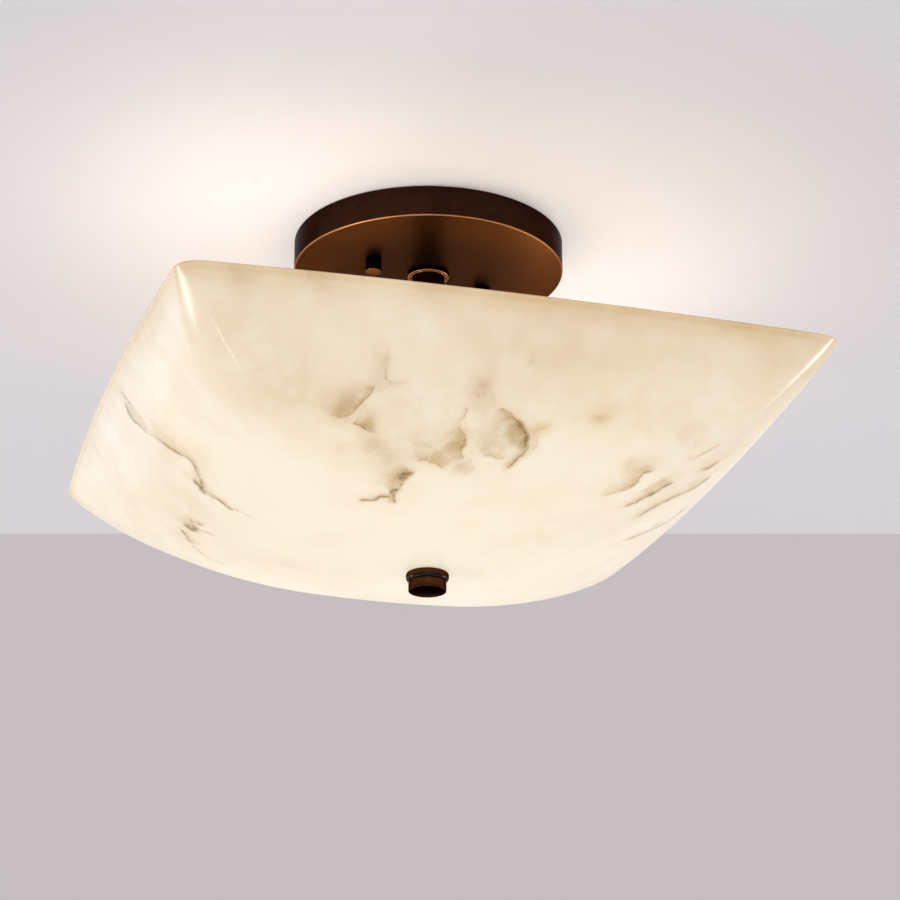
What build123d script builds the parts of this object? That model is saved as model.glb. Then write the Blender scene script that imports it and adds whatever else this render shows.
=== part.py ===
from build123d import *
import os
from math import atan, cos, radians, sin, sqrt, tan

# Semi flush ceiling light: a square pillow shade of marbled glass under a round bronze canopy.
# The canopy covers a crossbar that is screwed to the ceiling's outlet box. A stem carries a hub
# with two lampholders, and a threaded pipe under the hub holds the shade with a finial.
#
# Millimetres and degrees. The ceiling is the plane z = 0, the light hangs below it, and +Z is up.
# The origin is the centre of the canopy at the ceiling, and the shade's sides lie along X and Y.
# The fixture is modelled with its crossbar and its lamps along X, and is then turned about Z by
# fixture_turn, because the crossbar stands at an angle to the shade.

# ---- Shade ----
shade_width = 347.5            # across the middles of two sides, at the rim
shade_depth = 84.5             # from the rim to the lowest point, outside
shade_wall = 4.6
shade_corner_radius = 13.3     # at the rim
shade_side_bow = 6.1           # how far a side bulges past its ends, at the rim
shade_land_radius = 14.0       # flat in the middle, where the washers bear
shade_hole_clearance = 0.65    # all round the pipe
rim_drop = 104.4               # ceiling to rim
soft_share = 0.438             # share of the depth that rises as the square of the reach
steep_share = 0.514            # share that rises as its fourth power; the rest as its eighth
corner_sharpening = 1.84       # how late the corners turn sharp on the way out to the rim
middle_bow = 0.26              # extra bulge of the sides towards the middle, as a share of reach
middle_bow_fade = 1.45
greatest_bow = 0.28
shade_sections = 10

# ---- Canopy ----
canopy_diameter = 146.0
canopy_height = 17.0
canopy_sheet = 1.0
canopy_edge_round = 0.8
canopy_stud_clearance = 0.4    # all round each stud

# ---- Crossbar and its studs ----
fixture_turn = 17.0            # the crossbar's line, from X
crossbar_length = 106.0
crossbar_width = 19.0
crossbar_thickness = 1.6
crossbar_corner = 4.0
crossbar_centre_hole = 10.6
box_screw_spacing = 88.9       # screws into a 4 inch outlet box
box_screw_hole = 4.8
stud_spacing = 69.85
stud_diameter = 4.17
stud_nut_flats = 8.7
stud_nut_height = 3.2
cap_nut_diameter = 8.6
cap_nut_height = 7.8
cap_nut_end_wall = 1.8
cap_nut_bevel = 0.4
thread_clearance = 0.05        # all round a thread that a hand turns
thread_end_gap = 0.5           # past the end of a thread in a blind hole

# ---- Threaded pipe, stem and collar ----
pipe_diameter = 9.73
pipe_bore = 6.5
pipe_end = 1.0                 # that stands out of a nut
pipe_nut_flats = 14.3
pipe_nut_height = 4.0
lock_washer_diameter = 17.0
lock_washer_thickness = 1.0
stem_diameter = 17.5
stem_wall = 1.0
collar_diameter = 22.4
collar_height = 2.6
collar_seat_depth = 1.4        # the stem sits this deep in the collar
collar_lip = 1.1
collar_groove = 0.5
collar_groove_depth = 0.7

# ---- Hub and lampholders ----
lamp_below_rim = 12.0
hub_width = 38.0
hub_height = 30.0
hub_corner = 3.0
hub_top = 5.0
hub_cavity = 31.0
hub_boss = 1.5                 # locates the foot of the stem
cover_thickness = 2.0
cover_screw_diameter = 3.0
cover_screw_head = 5.5
cover_screw_head_height = 2.0
cover_screw_length = 8.0
cover_screw_inset = 4.5        # from the hub's sides
nipple_length = 8.0
holder_diameter = 34.0
holder_length = 42.0
holder_wall = 2.2
holder_back = 3.0
holder_chamber = 8.0           # behind the insulator, for the leads
insulator_thickness = 4.0
holder_shell_wall = 0.5
holder_shell_lip = 6.0
holder_contact_diameter = 7.0
holder_contact_height = 2.0

# ---- Lamps ----
lamp_diameter = 48.0
lamp_length = 88.0
lamp_base_diameter = 26.1
lamp_base_length = 19.0
lamp_base_clearance = 0.3      # all round the base, in the lampholder
lamp_contact_diameter = 9.0
lamp_contact_height = 1.5
lamp_insulator_height = 3.5
lamp_insulator_foot = 20.0
lamp_collar_diameter = 28.2
lamp_waist = 16.0              # from the globe's centre to where the collar ends
lamp_neck_swell = 0.6          # how far the collar's side bows out

# ---- Parts that hold the shade ----
upper_washer_diameter = 24.0
upper_washer_thickness = 1.5
upper_gasket_diameter = 22.0
upper_gasket_thickness = 1.5
lower_gasket_diameter = 17.0
lower_gasket_thickness = 1.0
slide_clearance = 0.3          # all round the pipe, and between the finial's two pieces
finial_seam = 0.2              # between the glass and the finial's base
finial_base_diameter = 22.7
finial_base_height = 4.9
finial_base_shoulder = 1.6
finial_base_foot = 1.1
finial_knob_diameter = 20.0
finial_knob_height = 5.2
finial_knob_bevel = 0.5
finial_boss_diameter = 14.0
finial_boss_height = 2.6
finial_end_wall = 1.8

# ---- Leads and their connectors, inside the canopy ----
lead_diameter = 2.0
lead_spacing = 2.6
lead_bend = 6.0
lead_gap = 1.4                 # under the crossbar
connector_length = 22.0
connector_wall_gap = 18.0      # from a lamp connector's tip to the canopy's wall
connector_mouth = 12.8
connector_tip = 8.0
connector_bore = 6.0
connector_depth = 12.0
connector_gap = 0.2            # over the canopy's sheet
ground_screw_offset = 20.0
ground_screw_diameter = 4.0
ground_screw_head = 7.6
ground_screw_head_height = 2.4
ground_ring_diameter = 9.2
ground_ring_thickness = 0.8
ground_barrel_wall = 0.8
ground_barrel_length = 5.0
ground_connector_offset = 28.0
ground_connector_wall_gap = 24.0

# ---- Levels and radii that follow from the sizes above ----
rim_z = -rim_drop
shade_bottom = rim_z - shade_depth
shade_inside_bottom = shade_bottom + shade_wall
land_level = shade_land_radius / (shade_width / 2)
rest_share = 1 - soft_share - steep_share
canopy_face = -canopy_height
canopy_inside = canopy_face + canopy_sheet
crossbar_face = -crossbar_thickness
pipe_radius = pipe_diameter / 2
lamp_axis = rim_z - lamp_below_rim
hub_top_z = lamp_axis + hub_height / 2
hub_foot_z = lamp_axis - hub_height / 2
canopy_nut_top = canopy_inside + lock_washer_thickness + pipe_nut_height
holder_back_at = hub_width / 2
holder_chamber_at = holder_back_at + holder_back
insulator_at = holder_chamber_at + holder_chamber
holder_floor_at = insulator_at + insulator_thickness
lamp_tip_at = holder_floor_at + holder_contact_height
lamp_collar_at = lamp_tip_at + lamp_contact_height + lamp_insulator_height + lamp_base_length
globe_centre_at = lamp_tip_at + lamp_length - lamp_diameter / 2
globe_waist_at = globe_centre_at - lamp_waist
seat_top = shade_inside_bottom + upper_gasket_thickness + upper_washer_thickness
finial_base_top = shade_bottom - finial_seam
finial_knob_top = finial_base_top - finial_base_height
finial_bore_end = finial_knob_top - finial_knob_height + finial_end_wall
lead_run_z = crossbar_face - lead_gap - lead_diameter / 2
connector_axis = canopy_inside + connector_gap + connector_mouth / 2
connector_limit = canopy_diameter / 2 - canopy_sheet - connector_length
connector_reach = connector_limit - connector_wall_gap
ground_connector_reach = connector_limit - ground_connector_wall_gap


# ---- Shapes that several pieces share ----
def disc(diameter, top, height):
    """A round disc that hangs from the level top."""
    return Pos(0, 0, top - height / 2) * Cylinder(diameter / 2, height)


def ring(diameter, bore, top, height):
    """A disc with a round hole through it."""
    return disc(diameter, top, height) - disc(bore, top, height)


def pipe(top, foot):
    """A length of threaded pipe between two levels."""
    return ring(pipe_diameter, pipe_bore, top, top - foot)


def hex_nut(flats, bore, top, height):
    """A hexagon nut that hangs from the level top."""
    outline = RegularPolygon(flats / 2, 6, major_radius=False) - Circle(bore / 2)
    return Pos(0, 0, top - height) * extrude(outline, height)


def turned(points):
    """A solid of revolution about Z, from its outline as (radius, z) points."""
    outline = make_face(Polyline([(radius, 0, z) for radius, z in points], close=True))
    return revolve(outline, Axis.Z)


def rod_across(diameter, length):
    """A round rod along X, centred on the centre line."""
    return Rot(0, 90, 0) * Cylinder(diameter / 2, length)


def at_studs(shape):
    """One copy of a shape at each of the crossbar's two studs."""
    return [Pos(side * stud_spacing / 2, 0, 0) * shape for side in (-1, 1)]


def on_arm(shape, arm):
    """Lay a shape that is made along +Z out along one arm of the hub, at the lamps' level."""
    return Pos(0, 0, lamp_axis) * Rot(0, 0, 180 * arm) * Rot(0, 90, 0) * shape


# ---- Canopy and crossbar ----
def make_canopy():
    """Shallow round pan with a hole for the pipe and one for each stud."""
    pan = disc(canopy_diameter, 0, canopy_height)
    pan = fillet(pan.edges().group_by(Axis.Z)[0], canopy_edge_round)
    pan -= disc(canopy_diameter - 2 * canopy_sheet, 0, canopy_height - canopy_sheet)
    pan -= disc(pipe_diameter, 0, canopy_height)
    for hole in at_studs(disc(stud_diameter + 2 * canopy_stud_clearance, 0, canopy_height)):
        pan -= hole
    return pan


def make_crossbar():
    """Flat steel bar with its screw holes, flush with the ceiling."""
    outline = RectangleRounded(crossbar_length, crossbar_width, crossbar_corner)
    outline -= Circle(crossbar_centre_hole / 2)
    for side in (-1, 1):
        outline -= Pos(side * stud_spacing / 2, 0) * Circle(stud_diameter / 2)
        outline -= Pos(side * box_screw_spacing / 2, 0) * Circle(box_screw_hole / 2)
    outline -= Pos(ground_screw_offset, 0) * Circle(ground_screw_diameter / 2)
    return Pos(0, 0, crossbar_face) * extrude(outline, crossbar_thickness)


def make_studs():
    """The two threaded studs, from the bar's upper face down into the cap nuts."""
    reach = canopy_height + cap_nut_height - cap_nut_end_wall - thread_end_gap
    return Compound(at_studs(disc(stud_diameter, 0, reach)))


def make_stud_nuts():
    """The nuts that lock the studs under the bar."""
    return Compound(at_studs(hex_nut(stud_nut_flats, stud_diameter, crossbar_face, stud_nut_height)))


def make_cap_nut():
    """One blind cap nut under the canopy, upright on the centre line."""
    nut = disc(cap_nut_diameter, canopy_face, cap_nut_height)
    nut = chamfer(nut.edges().group_by(Axis.Z)[0], cap_nut_bevel)
    bore = stud_diameter + 2 * thread_clearance
    return nut - disc(bore, canopy_face, cap_nut_height - cap_nut_end_wall)


def make_ground_screw():
    """Screw through the ring terminal into the bar."""
    reach = crossbar_thickness + ground_ring_thickness
    shank = disc(ground_screw_diameter, 0, reach)
    head = disc(ground_screw_head, -reach, ground_screw_head_height)
    return Pos(ground_screw_offset, 0, 0) * (shank + head)


def make_ground_terminal():
    """Ring terminal with the barrel that grips the ground lead."""
    eye = ring(ground_ring_diameter, ground_screw_diameter, crossbar_face, ground_ring_thickness)
    barrel_diameter = lead_diameter + 2 * ground_barrel_wall
    axis = crossbar_face - barrel_diameter / 2
    start = ground_screw_head / 2 + ground_barrel_wall / 2
    lay = Pos(0, start + ground_barrel_length / 2, axis) * Rot(90, 0, 0)
    barrel = lay * Cylinder(barrel_diameter / 2, ground_barrel_length)
    bore = lay * Cylinder(lead_diameter / 2, 2 * ground_barrel_length)
    clear_of_head = disc(ground_screw_head, crossbar_face - ground_ring_thickness, canopy_height)
    return Pos(ground_screw_offset, 0, 0) * (eye + barrel - bore - clear_of_head)


# ---- Stem ----
def make_collar():
    """Turned collar under the canopy, with a lip, a groove and a seat for the stem."""
    bore = pipe_radius
    seat = stem_diameter / 2
    rim = collar_diameter / 2
    groove_out = rim - collar_lip
    groove_in = groove_out - collar_groove
    foot = canopy_face - collar_height
    seat_z = foot + collar_seat_depth
    groove_z = foot + collar_groove_depth
    outline = [(bore, canopy_face), (rim, canopy_face), (rim, foot), (groove_out, foot)]
    outline += [(groove_out, groove_z), (groove_in, groove_z), (groove_in, foot)]
    outline += [(seat, foot), (seat, seat_z), (bore, seat_z)]
    return turned(outline)


def make_stem():
    """Bronze tube from the collar down to the hub."""
    top = canopy_face - collar_height + collar_seat_depth
    return ring(stem_diameter, stem_diameter - 2 * stem_wall, top, top - hub_top_z)


def make_stem_pipe():
    """Threaded pipe from inside the canopy to inside the hub."""
    foot = hub_top_z - hub_top - pipe_nut_height - pipe_end
    return pipe(canopy_nut_top + pipe_end, foot)


def make_canopy_nut():
    """Nut on the pipe, inside the canopy."""
    return hex_nut(pipe_nut_flats, pipe_diameter, canopy_nut_top, pipe_nut_height)


def make_lock_washer():
    """Washer between that nut and the canopy's sheet."""
    top = canopy_nut_top - pipe_nut_height
    return ring(lock_washer_diameter, pipe_diameter, top, lock_washer_thickness)


# ---- Hub ----
def hub_outline():
    """The hub's square plan with its rounded corners."""
    return RectangleRounded(hub_width, hub_width, hub_corner)


def cover_screw_places():
    """The four corners where the cover is screwed on."""
    return GridLocations(hub_width - 2 * cover_screw_inset, hub_width - 2 * cover_screw_inset, 2, 2)


def make_hub():
    """Square casting, hollow from below, that carries both lampholders."""
    body = Pos(0, 0, hub_foot_z) * extrude(hub_outline(), hub_height)
    body += disc(stem_diameter - 2 * stem_wall, hub_top_z + hub_boss, hub_boss)
    body -= disc(hub_cavity, hub_top_z - hub_top, hub_height)
    body -= disc(pipe_diameter, hub_top_z + hub_boss, hub_height)
    body -= Pos(0, 0, lamp_axis) * rod_across(pipe_diameter, 2 * hub_width)
    hole_depth = cover_screw_length - cover_thickness
    for place in cover_screw_places():
        body -= place * disc(cover_screw_diameter, hub_foot_z + hole_depth, hole_depth)
    return body


def make_hub_nut():
    """Nut on the stem's pipe, inside the hub."""
    return hex_nut(pipe_nut_flats, pipe_diameter, hub_top_z - hub_top, pipe_nut_height)


def make_hub_cover():
    """Plate that closes the hub from below and carries the shade's pipe."""
    plate = Pos(0, 0, hub_foot_z - cover_thickness) * extrude(hub_outline(), cover_thickness)
    plate -= disc(pipe_diameter, hub_foot_z, cover_thickness)
    for place in cover_screw_places():
        plate -= place * disc(cover_screw_diameter, hub_foot_z, cover_thickness)
    return plate


def make_cover_screws():
    """The four screws that hold the cover to the hub."""
    top = hub_foot_z - cover_thickness + cover_screw_length
    screw = disc(cover_screw_diameter, top, cover_screw_length)
    screw += disc(cover_screw_head, hub_foot_z - cover_thickness, cover_screw_head_height)
    return Compound([place * screw for place in cover_screw_places()])


def make_cover_nut():
    """Nut above the cover, on the shade's pipe."""
    return hex_nut(pipe_nut_flats, pipe_diameter, hub_foot_z + pipe_nut_height, pipe_nut_height)


def make_pipe_lock_nut():
    """Nut below the cover, on the shade's pipe."""
    top = hub_foot_z - cover_thickness
    return hex_nut(pipe_nut_flats, pipe_diameter, top, pipe_nut_height)


# ---- Lampholders and lamps, made along +Z from the hub's centre ----
def make_nipple():
    """Short pipe between the hub's side and a lampholder's back."""
    outer_end = holder_back_at + holder_back
    return pipe(outer_end, outer_end - nipple_length)


def make_holder():
    """Moulded cup of a lampholder, screwed on its nipple."""
    cup = disc(holder_diameter, holder_back_at + holder_length, holder_length)
    hollow = holder_diameter - 2 * holder_wall
    cup -= disc(hollow, holder_back_at + holder_length, holder_length - holder_back)
    return cup - disc(pipe_diameter, holder_chamber_at, holder_back)


def make_holder_insulator():
    """Disc across the lampholder that carries its live parts."""
    return disc(holder_diameter - 2 * holder_wall, holder_floor_at, insulator_thickness)


def make_holder_shell():
    """Brass screw shell that the lamp's base turns into."""
    bore = lamp_base_diameter + 2 * lamp_base_clearance
    outside = bore + 2 * holder_shell_wall
    tube = ring(outside, bore, lamp_collar_at, lamp_collar_at - holder_floor_at)
    floor_top = holder_floor_at + holder_shell_wall
    return tube + ring(outside, bore - 2 * holder_shell_lip, floor_top, holder_shell_wall)


def make_holder_contact():
    """Centre contact at the bottom of the lampholder."""
    return disc(holder_contact_diameter, lamp_tip_at, holder_contact_height)


def make_lamp_contact():
    """Solder tip of the lamp's base."""
    return disc(lamp_contact_diameter, lamp_tip_at + lamp_contact_height, lamp_contact_height)


def make_lamp_insulator():
    """Black glass cone between the lamp's tip and its screw shell."""
    foot = lamp_tip_at + lamp_contact_height
    top = foot + lamp_insulator_height
    narrow = lamp_contact_diameter / 2
    wide = lamp_insulator_foot / 2
    return turned([(0, foot), (narrow, foot), (wide, top), (0, top)])


def make_lamp_base():
    """Screw shell of the lamp."""
    return disc(lamp_base_diameter, lamp_collar_at, lamp_base_length)


def make_lamp_collar():
    """White collar that widens from the base to the globe."""
    start = (lamp_collar_diameter / 2, 0, lamp_collar_at)
    waist_radius = sqrt((lamp_diameter / 2) ** 2 - lamp_waist**2)
    end = (waist_radius, 0, globe_waist_at)
    middle = Vector(start) * 0.5 + Vector(end) * 0.5 + Vector(lamp_neck_swell, 0, -lamp_neck_swell)
    side = ThreePointArc(start, middle, end)
    rest = Polyline(end, (0, 0, globe_waist_at), (0, 0, lamp_collar_at), start)
    return revolve(make_face([side, rest]), Axis.Z)


def make_lamp_globe():
    """Frosted round end of the lamp."""
    ball = Pos(0, 0, globe_centre_at) * Sphere(lamp_diameter / 2)
    return ball - disc(2 * lamp_diameter, globe_waist_at, lamp_length)


# ---- Shade ----
def shade_reach(level):
    """Half width of the shade's outside at a level from 0, the middle, to 1, the rim."""
    return level * shade_width / 2


def shade_rise(level):
    """Share of the depth that the bowl has risen by at a level, if it had no flat land."""
    return soft_share * level**2 + steep_share * level**4 + rest_share * level**8


def shade_height(level):
    """Height of the outside at a level."""
    above_land = (shade_rise(level) - shade_rise(land_level)) / (1 - shade_rise(land_level))
    return shade_bottom + shade_depth * above_land


def shade_slope(level):
    """Steepness of the outside at a level, in radians; the land itself is flat."""
    if level == land_level:
        return 0.0
    rise = 2 * soft_share * level + 4 * steep_share * level**3 + 8 * rest_share * level**7
    return atan(rise * shade_depth / shade_reach(1))


def shade_bow(level):
    """How far a side bulges past its ends at a level."""
    share = shade_side_bow / shade_reach(1) + middle_bow * (1 - level) ** middle_bow_fade
    return min(share, greatest_bow) * shade_reach(level)


def shade_corner(level):
    """Corner radius of the outside at a level: round in the middle and tight at the rim."""
    straight = shade_reach(level) - shade_bow(level)
    return (1 - (1 - shade_corner_radius / shade_reach(1)) * level**corner_sharpening) * straight


def square_section(half_width, bow, corner, height):
    """Closed outline of a square with bowed sides and round corners, level at a height."""
    corner_at = half_width - bow
    side_radius = (corner_at**2 + bow**2) / (2 * bow)
    side_offset = side_radius - half_width
    spread = side_radius - corner
    centre = (sqrt(2 * spread**2 - side_offset**2) - side_offset) / 2
    stretch = side_radius / spread
    joint = ((centre + side_offset) * stretch - side_offset, centre * stretch)
    tip = centre + corner / sqrt(2)
    edges = []
    for quarter in range(4):
        turn = Pos(0, 0, height) * Rot(0, 0, 90 * quarter)
        edges.append(turn * ThreePointArc((joint[0], -joint[1]), (half_width, 0), joint))
        edges.append(turn * ThreePointArc(joint, (tip, tip), (joint[1], joint[0])))
    return Wire([edge for part in edges for edge in part.edges()])


def shade_levels():
    """Levels of the sections, from the flat land in the middle to the rim."""
    step = (1 - land_level) / (shade_sections - 1)
    return [land_level + step * number for number in range(shade_sections)]


def make_shade():
    """Glass shade: the outside less an inside that lies one wall thickness within it."""
    outside = []
    inside = []
    for level in shade_levels():
        inset = shade_wall * sin(shade_slope(level))
        lift = shade_wall * cos(shade_slope(level))
        reach = shade_reach(level)
        bow = shade_bow(level)
        corner = shade_corner(level)
        outside.append(square_section(reach, bow, corner, shade_height(level)))
        inside.append(square_section(reach - inset, bow, corner - inset, shade_height(level) + lift))
    bowl = Solid.make_loft(outside) - Solid.make_loft(inside)
    hole = pipe_diameter + 2 * shade_hole_clearance
    return bowl - disc(hole, shade_bottom + 2 * shade_wall, 3 * shade_wall)


def make_shade_pipe():
    """Threaded pipe from the hub down through the shade into the finial."""
    return pipe(hub_foot_z + pipe_nut_height + pipe_end, finial_bore_end + thread_end_gap)


def make_seat_nut():
    """Nut that the shade's upper washer bears against."""
    return hex_nut(pipe_nut_flats, pipe_diameter, seat_top + pipe_nut_height, pipe_nut_height)


def make_upper_washer():
    """Steel washer over the upper gasket."""
    return ring(upper_washer_diameter, pipe_diameter, seat_top, upper_washer_thickness)


def make_upper_gasket():
    """Rubber gasket on the inside of the glass."""
    top = seat_top - upper_washer_thickness
    return ring(upper_gasket_diameter, pipe_diameter, top, upper_gasket_thickness)


def make_lower_gasket():
    """Rubber gasket between the glass and the finial's base."""
    bore = pipe_diameter + 2 * slide_clearance
    return ring(lower_gasket_diameter, bore, shade_bottom, lower_gasket_thickness)


def make_finial_base():
    """Rounded disc under the glass, recessed for its gasket and for the knob's boss."""
    body = disc(finial_base_diameter, finial_base_top, finial_base_height)
    body = fillet(body.edges().group_by(Axis.Z)[-1], finial_base_shoulder)
    body = fillet(body.edges().group_by(Axis.Z)[0], finial_base_foot)
    body -= disc(lower_gasket_diameter, shade_bottom, lower_gasket_thickness)
    body -= disc(pipe_diameter + 2 * slide_clearance, shade_bottom, 2 * finial_base_height)
    boss_hole = finial_boss_diameter + 2 * slide_clearance
    return body - disc(boss_hole, finial_knob_top + finial_boss_height, finial_boss_height)


def make_finial_knob():
    """Knob that screws on the pipe, with a boss up into the base."""
    knob = disc(finial_knob_diameter, finial_knob_top, finial_knob_height)
    knob = chamfer(knob.edges().group_by(Axis.Z)[0], finial_knob_bevel)
    boss_top = finial_knob_top + finial_boss_height
    knob += disc(finial_boss_diameter, boss_top, finial_boss_height)
    return knob - disc(pipe_diameter + 2 * thread_clearance, boss_top, boss_top - finial_bore_end)


# ---- Leads ----
def bend_radius(before, corner, after):
    """Radius of the arc at a corner of a lead, as large as its two runs allow."""
    first = Vector(corner) - Vector(before)
    second = Vector(after) - Vector(corner)
    shorter = min(first.length, second.length)
    return 0.45 * shorter / tan(radians(first.get_angle(second)) / 2)


def make_lead(points, radii):
    """Round lead along straight runs and arcs. Its volume is checked against its length."""
    path = FilletPolyline(points, radius=radii)
    section = Plane(origin=path @ 0, z_dir=path % 0) * Circle(lead_diameter / 2)
    lead = sweep(section, path=path)
    expected = section.area * path.length
    print("lead", round(path.length, 1), "mm, radii", [round(r, 1) for r in radii], end=" ")
    print("volume off by", round(100 * abs(lead.volume / expected - 1), 3), "%")
    return lead


def make_lamp_lead(arm, side):
    """Lead from one lampholder through the hub and stem into a connector in the canopy."""
    along = 1 - 2 * arm
    inner = lead_spacing / 2
    slope_start = connector_reach - connector_depth
    slope_end = connector_reach - connector_depth / 4
    end = connector_reach + connector_depth
    points = [(along * insulator_at, side * inner, lamp_axis)]
    points.append((along * inner, side * inner, lamp_axis))
    points.append((along * inner, side * inner, lead_run_z))
    points.append((along * inner, side * slope_start, lead_run_z))
    points.append((along * inner, side * slope_end, connector_axis))
    points.append((along * inner, side * end, connector_axis))
    gentle = [bend_radius(*points[index - 1 : index + 2]) for index in (3, 4)]
    return make_lead(points, [lead_bend, lead_bend] + gentle)


def make_ground_lead():
    """Lead from the ring terminal to its own connector."""
    terminal_axis = crossbar_face - lead_diameter / 2 - ground_barrel_wall
    start = ground_screw_head / 2 + ground_barrel_wall
    mouth = ground_connector_reach
    points = [(ground_screw_offset, start, terminal_axis)]
    points.append((ground_screw_offset, start + 2 * ground_barrel_length, terminal_axis))
    points.append((ground_connector_offset, mouth - connector_depth / 6, connector_axis))
    points.append((ground_connector_offset, mouth + connector_depth, connector_axis))
    radii = [bend_radius(*points[index - 1 : index + 2]) for index in (1, 2)]
    return make_lead(points, radii)


def make_connector():
    """Twist-on connector along +Y with its mouth at y = 0."""
    mouth = connector_mouth / 2
    tip = connector_tip / 2
    bore = connector_bore / 2
    outline = [(bore, 0), (mouth, 0), (tip, connector_length), (0, connector_length)]
    outline += [(0, connector_depth), (bore, connector_depth)]
    return Rot(-90, 0, 0) * turned(outline)


# ---- The whole light ----
fixture = {
    "canopy": make_canopy(),
    "crossbar": make_crossbar(),
    "crossbar_studs": make_studs(),
    "stud_lock_nuts": make_stud_nuts(),
    "ground_screw": make_ground_screw(),
    "ground_terminal": make_ground_terminal(),
    "ground_lead": make_ground_lead(),
    "canopy_nut": make_canopy_nut(),
    "canopy_lock_washer": make_lock_washer(),
    "collar": make_collar(),
    "stem": make_stem(),
    "stem_pipe": make_stem_pipe(),
    "hub": make_hub(),
    "hub_nut": make_hub_nut(),
    "hub_cover": make_hub_cover(),
    "cover_screws": make_cover_screws(),
    "cover_nut": make_cover_nut(),
    "pipe_lock_nut": make_pipe_lock_nut(),
    "shade_pipe": make_shade_pipe(),
    "seat_nut": make_seat_nut(),
    "upper_washer": make_upper_washer(),
    "upper_gasket": make_upper_gasket(),
    "ground_connector": Pos(ground_connector_offset, ground_connector_reach, connector_axis)
    * make_connector(),
}
for name, side in (("hot", -1), ("neutral", 1)):
    turn = Rot(0, 0, 90 - 90 * side)
    fixture[f"{name}_connector"] = turn * Pos(0, connector_reach, connector_axis) * make_connector()
for number, place in enumerate(at_studs(make_cap_nut())):
    fixture[f"cap_nut_{number + 1}"] = place
for arm in (0, 1):
    number = arm + 1
    fixture[f"lampholder_{number}_nipple"] = on_arm(make_nipple(), arm)
    fixture[f"lampholder_{number}_cup"] = on_arm(make_holder(), arm)
    fixture[f"lampholder_{number}_insulator"] = on_arm(make_holder_insulator(), arm)
    fixture[f"lampholder_{number}_shell"] = on_arm(make_holder_shell(), arm)
    fixture[f"lampholder_{number}_contact"] = on_arm(make_holder_contact(), arm)
    fixture[f"lamp_{number}_contact"] = on_arm(make_lamp_contact(), arm)
    fixture[f"lamp_{number}_insulator"] = on_arm(make_lamp_insulator(), arm)
    fixture[f"lamp_{number}_base"] = on_arm(make_lamp_base(), arm)
    fixture[f"lamp_{number}_collar"] = on_arm(make_lamp_collar(), arm)
    fixture[f"lamp_{number}_globe"] = on_arm(make_lamp_globe(), arm)
    fixture[f"hot_lead_{number}"] = make_lamp_lead(arm, -1)
    fixture[f"neutral_lead_{number}"] = make_lamp_lead(arm, 1)

light = {name: Rot(0, 0, fixture_turn) * shape for name, shape in fixture.items()}
light["shade"] = make_shade()
light["lower_gasket"] = make_lower_gasket()
light["finial_base"] = make_finial_base()
light["finial_knob"] = make_finial_knob()

os.makedirs("parts", exist_ok=True)
for name, shape in light.items():
    export_step(shape, f"parts/{name}.step")
print(len(light), "nodes")
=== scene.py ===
"""Looks of a semi flush ceiling light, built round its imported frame.

A round bronze canopy holds a square bowl of marbled glass on a stem. Lengths are in metres, in the
frame of the CAD model: the ceiling is the plane z = 0, the light hangs under it, and +Z is up.
"""
import logging
import math
from dataclasses import dataclass
from enum import Enum
from typing import Callable, Iterable, Sequence, Union

import bmesh
import bpy
import numpy as np
from mathutils import Matrix, Vector


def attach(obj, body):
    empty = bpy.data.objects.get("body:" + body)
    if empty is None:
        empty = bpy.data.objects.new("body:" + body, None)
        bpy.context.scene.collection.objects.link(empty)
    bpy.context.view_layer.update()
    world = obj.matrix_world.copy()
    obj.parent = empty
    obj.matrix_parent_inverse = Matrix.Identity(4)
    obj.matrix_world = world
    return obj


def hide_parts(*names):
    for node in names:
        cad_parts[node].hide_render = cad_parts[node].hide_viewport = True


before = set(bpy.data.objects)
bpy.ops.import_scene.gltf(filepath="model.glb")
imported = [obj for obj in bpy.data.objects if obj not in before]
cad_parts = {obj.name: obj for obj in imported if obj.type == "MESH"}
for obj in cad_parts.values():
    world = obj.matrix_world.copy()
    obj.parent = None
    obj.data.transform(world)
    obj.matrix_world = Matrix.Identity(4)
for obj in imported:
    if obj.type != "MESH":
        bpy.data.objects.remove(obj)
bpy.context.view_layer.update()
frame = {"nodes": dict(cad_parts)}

MM = 0.001

Colour = tuple[float, float, float]
Point = tuple[float, float]
Socket = bpy.types.NodeSocket
Sockets = Union[dict[str, Socket], bpy.types.bpy_prop_collection]
Feed = Union[Socket, float, Sequence[float]]

log = logging.getLogger("ceiling_light")


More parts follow.
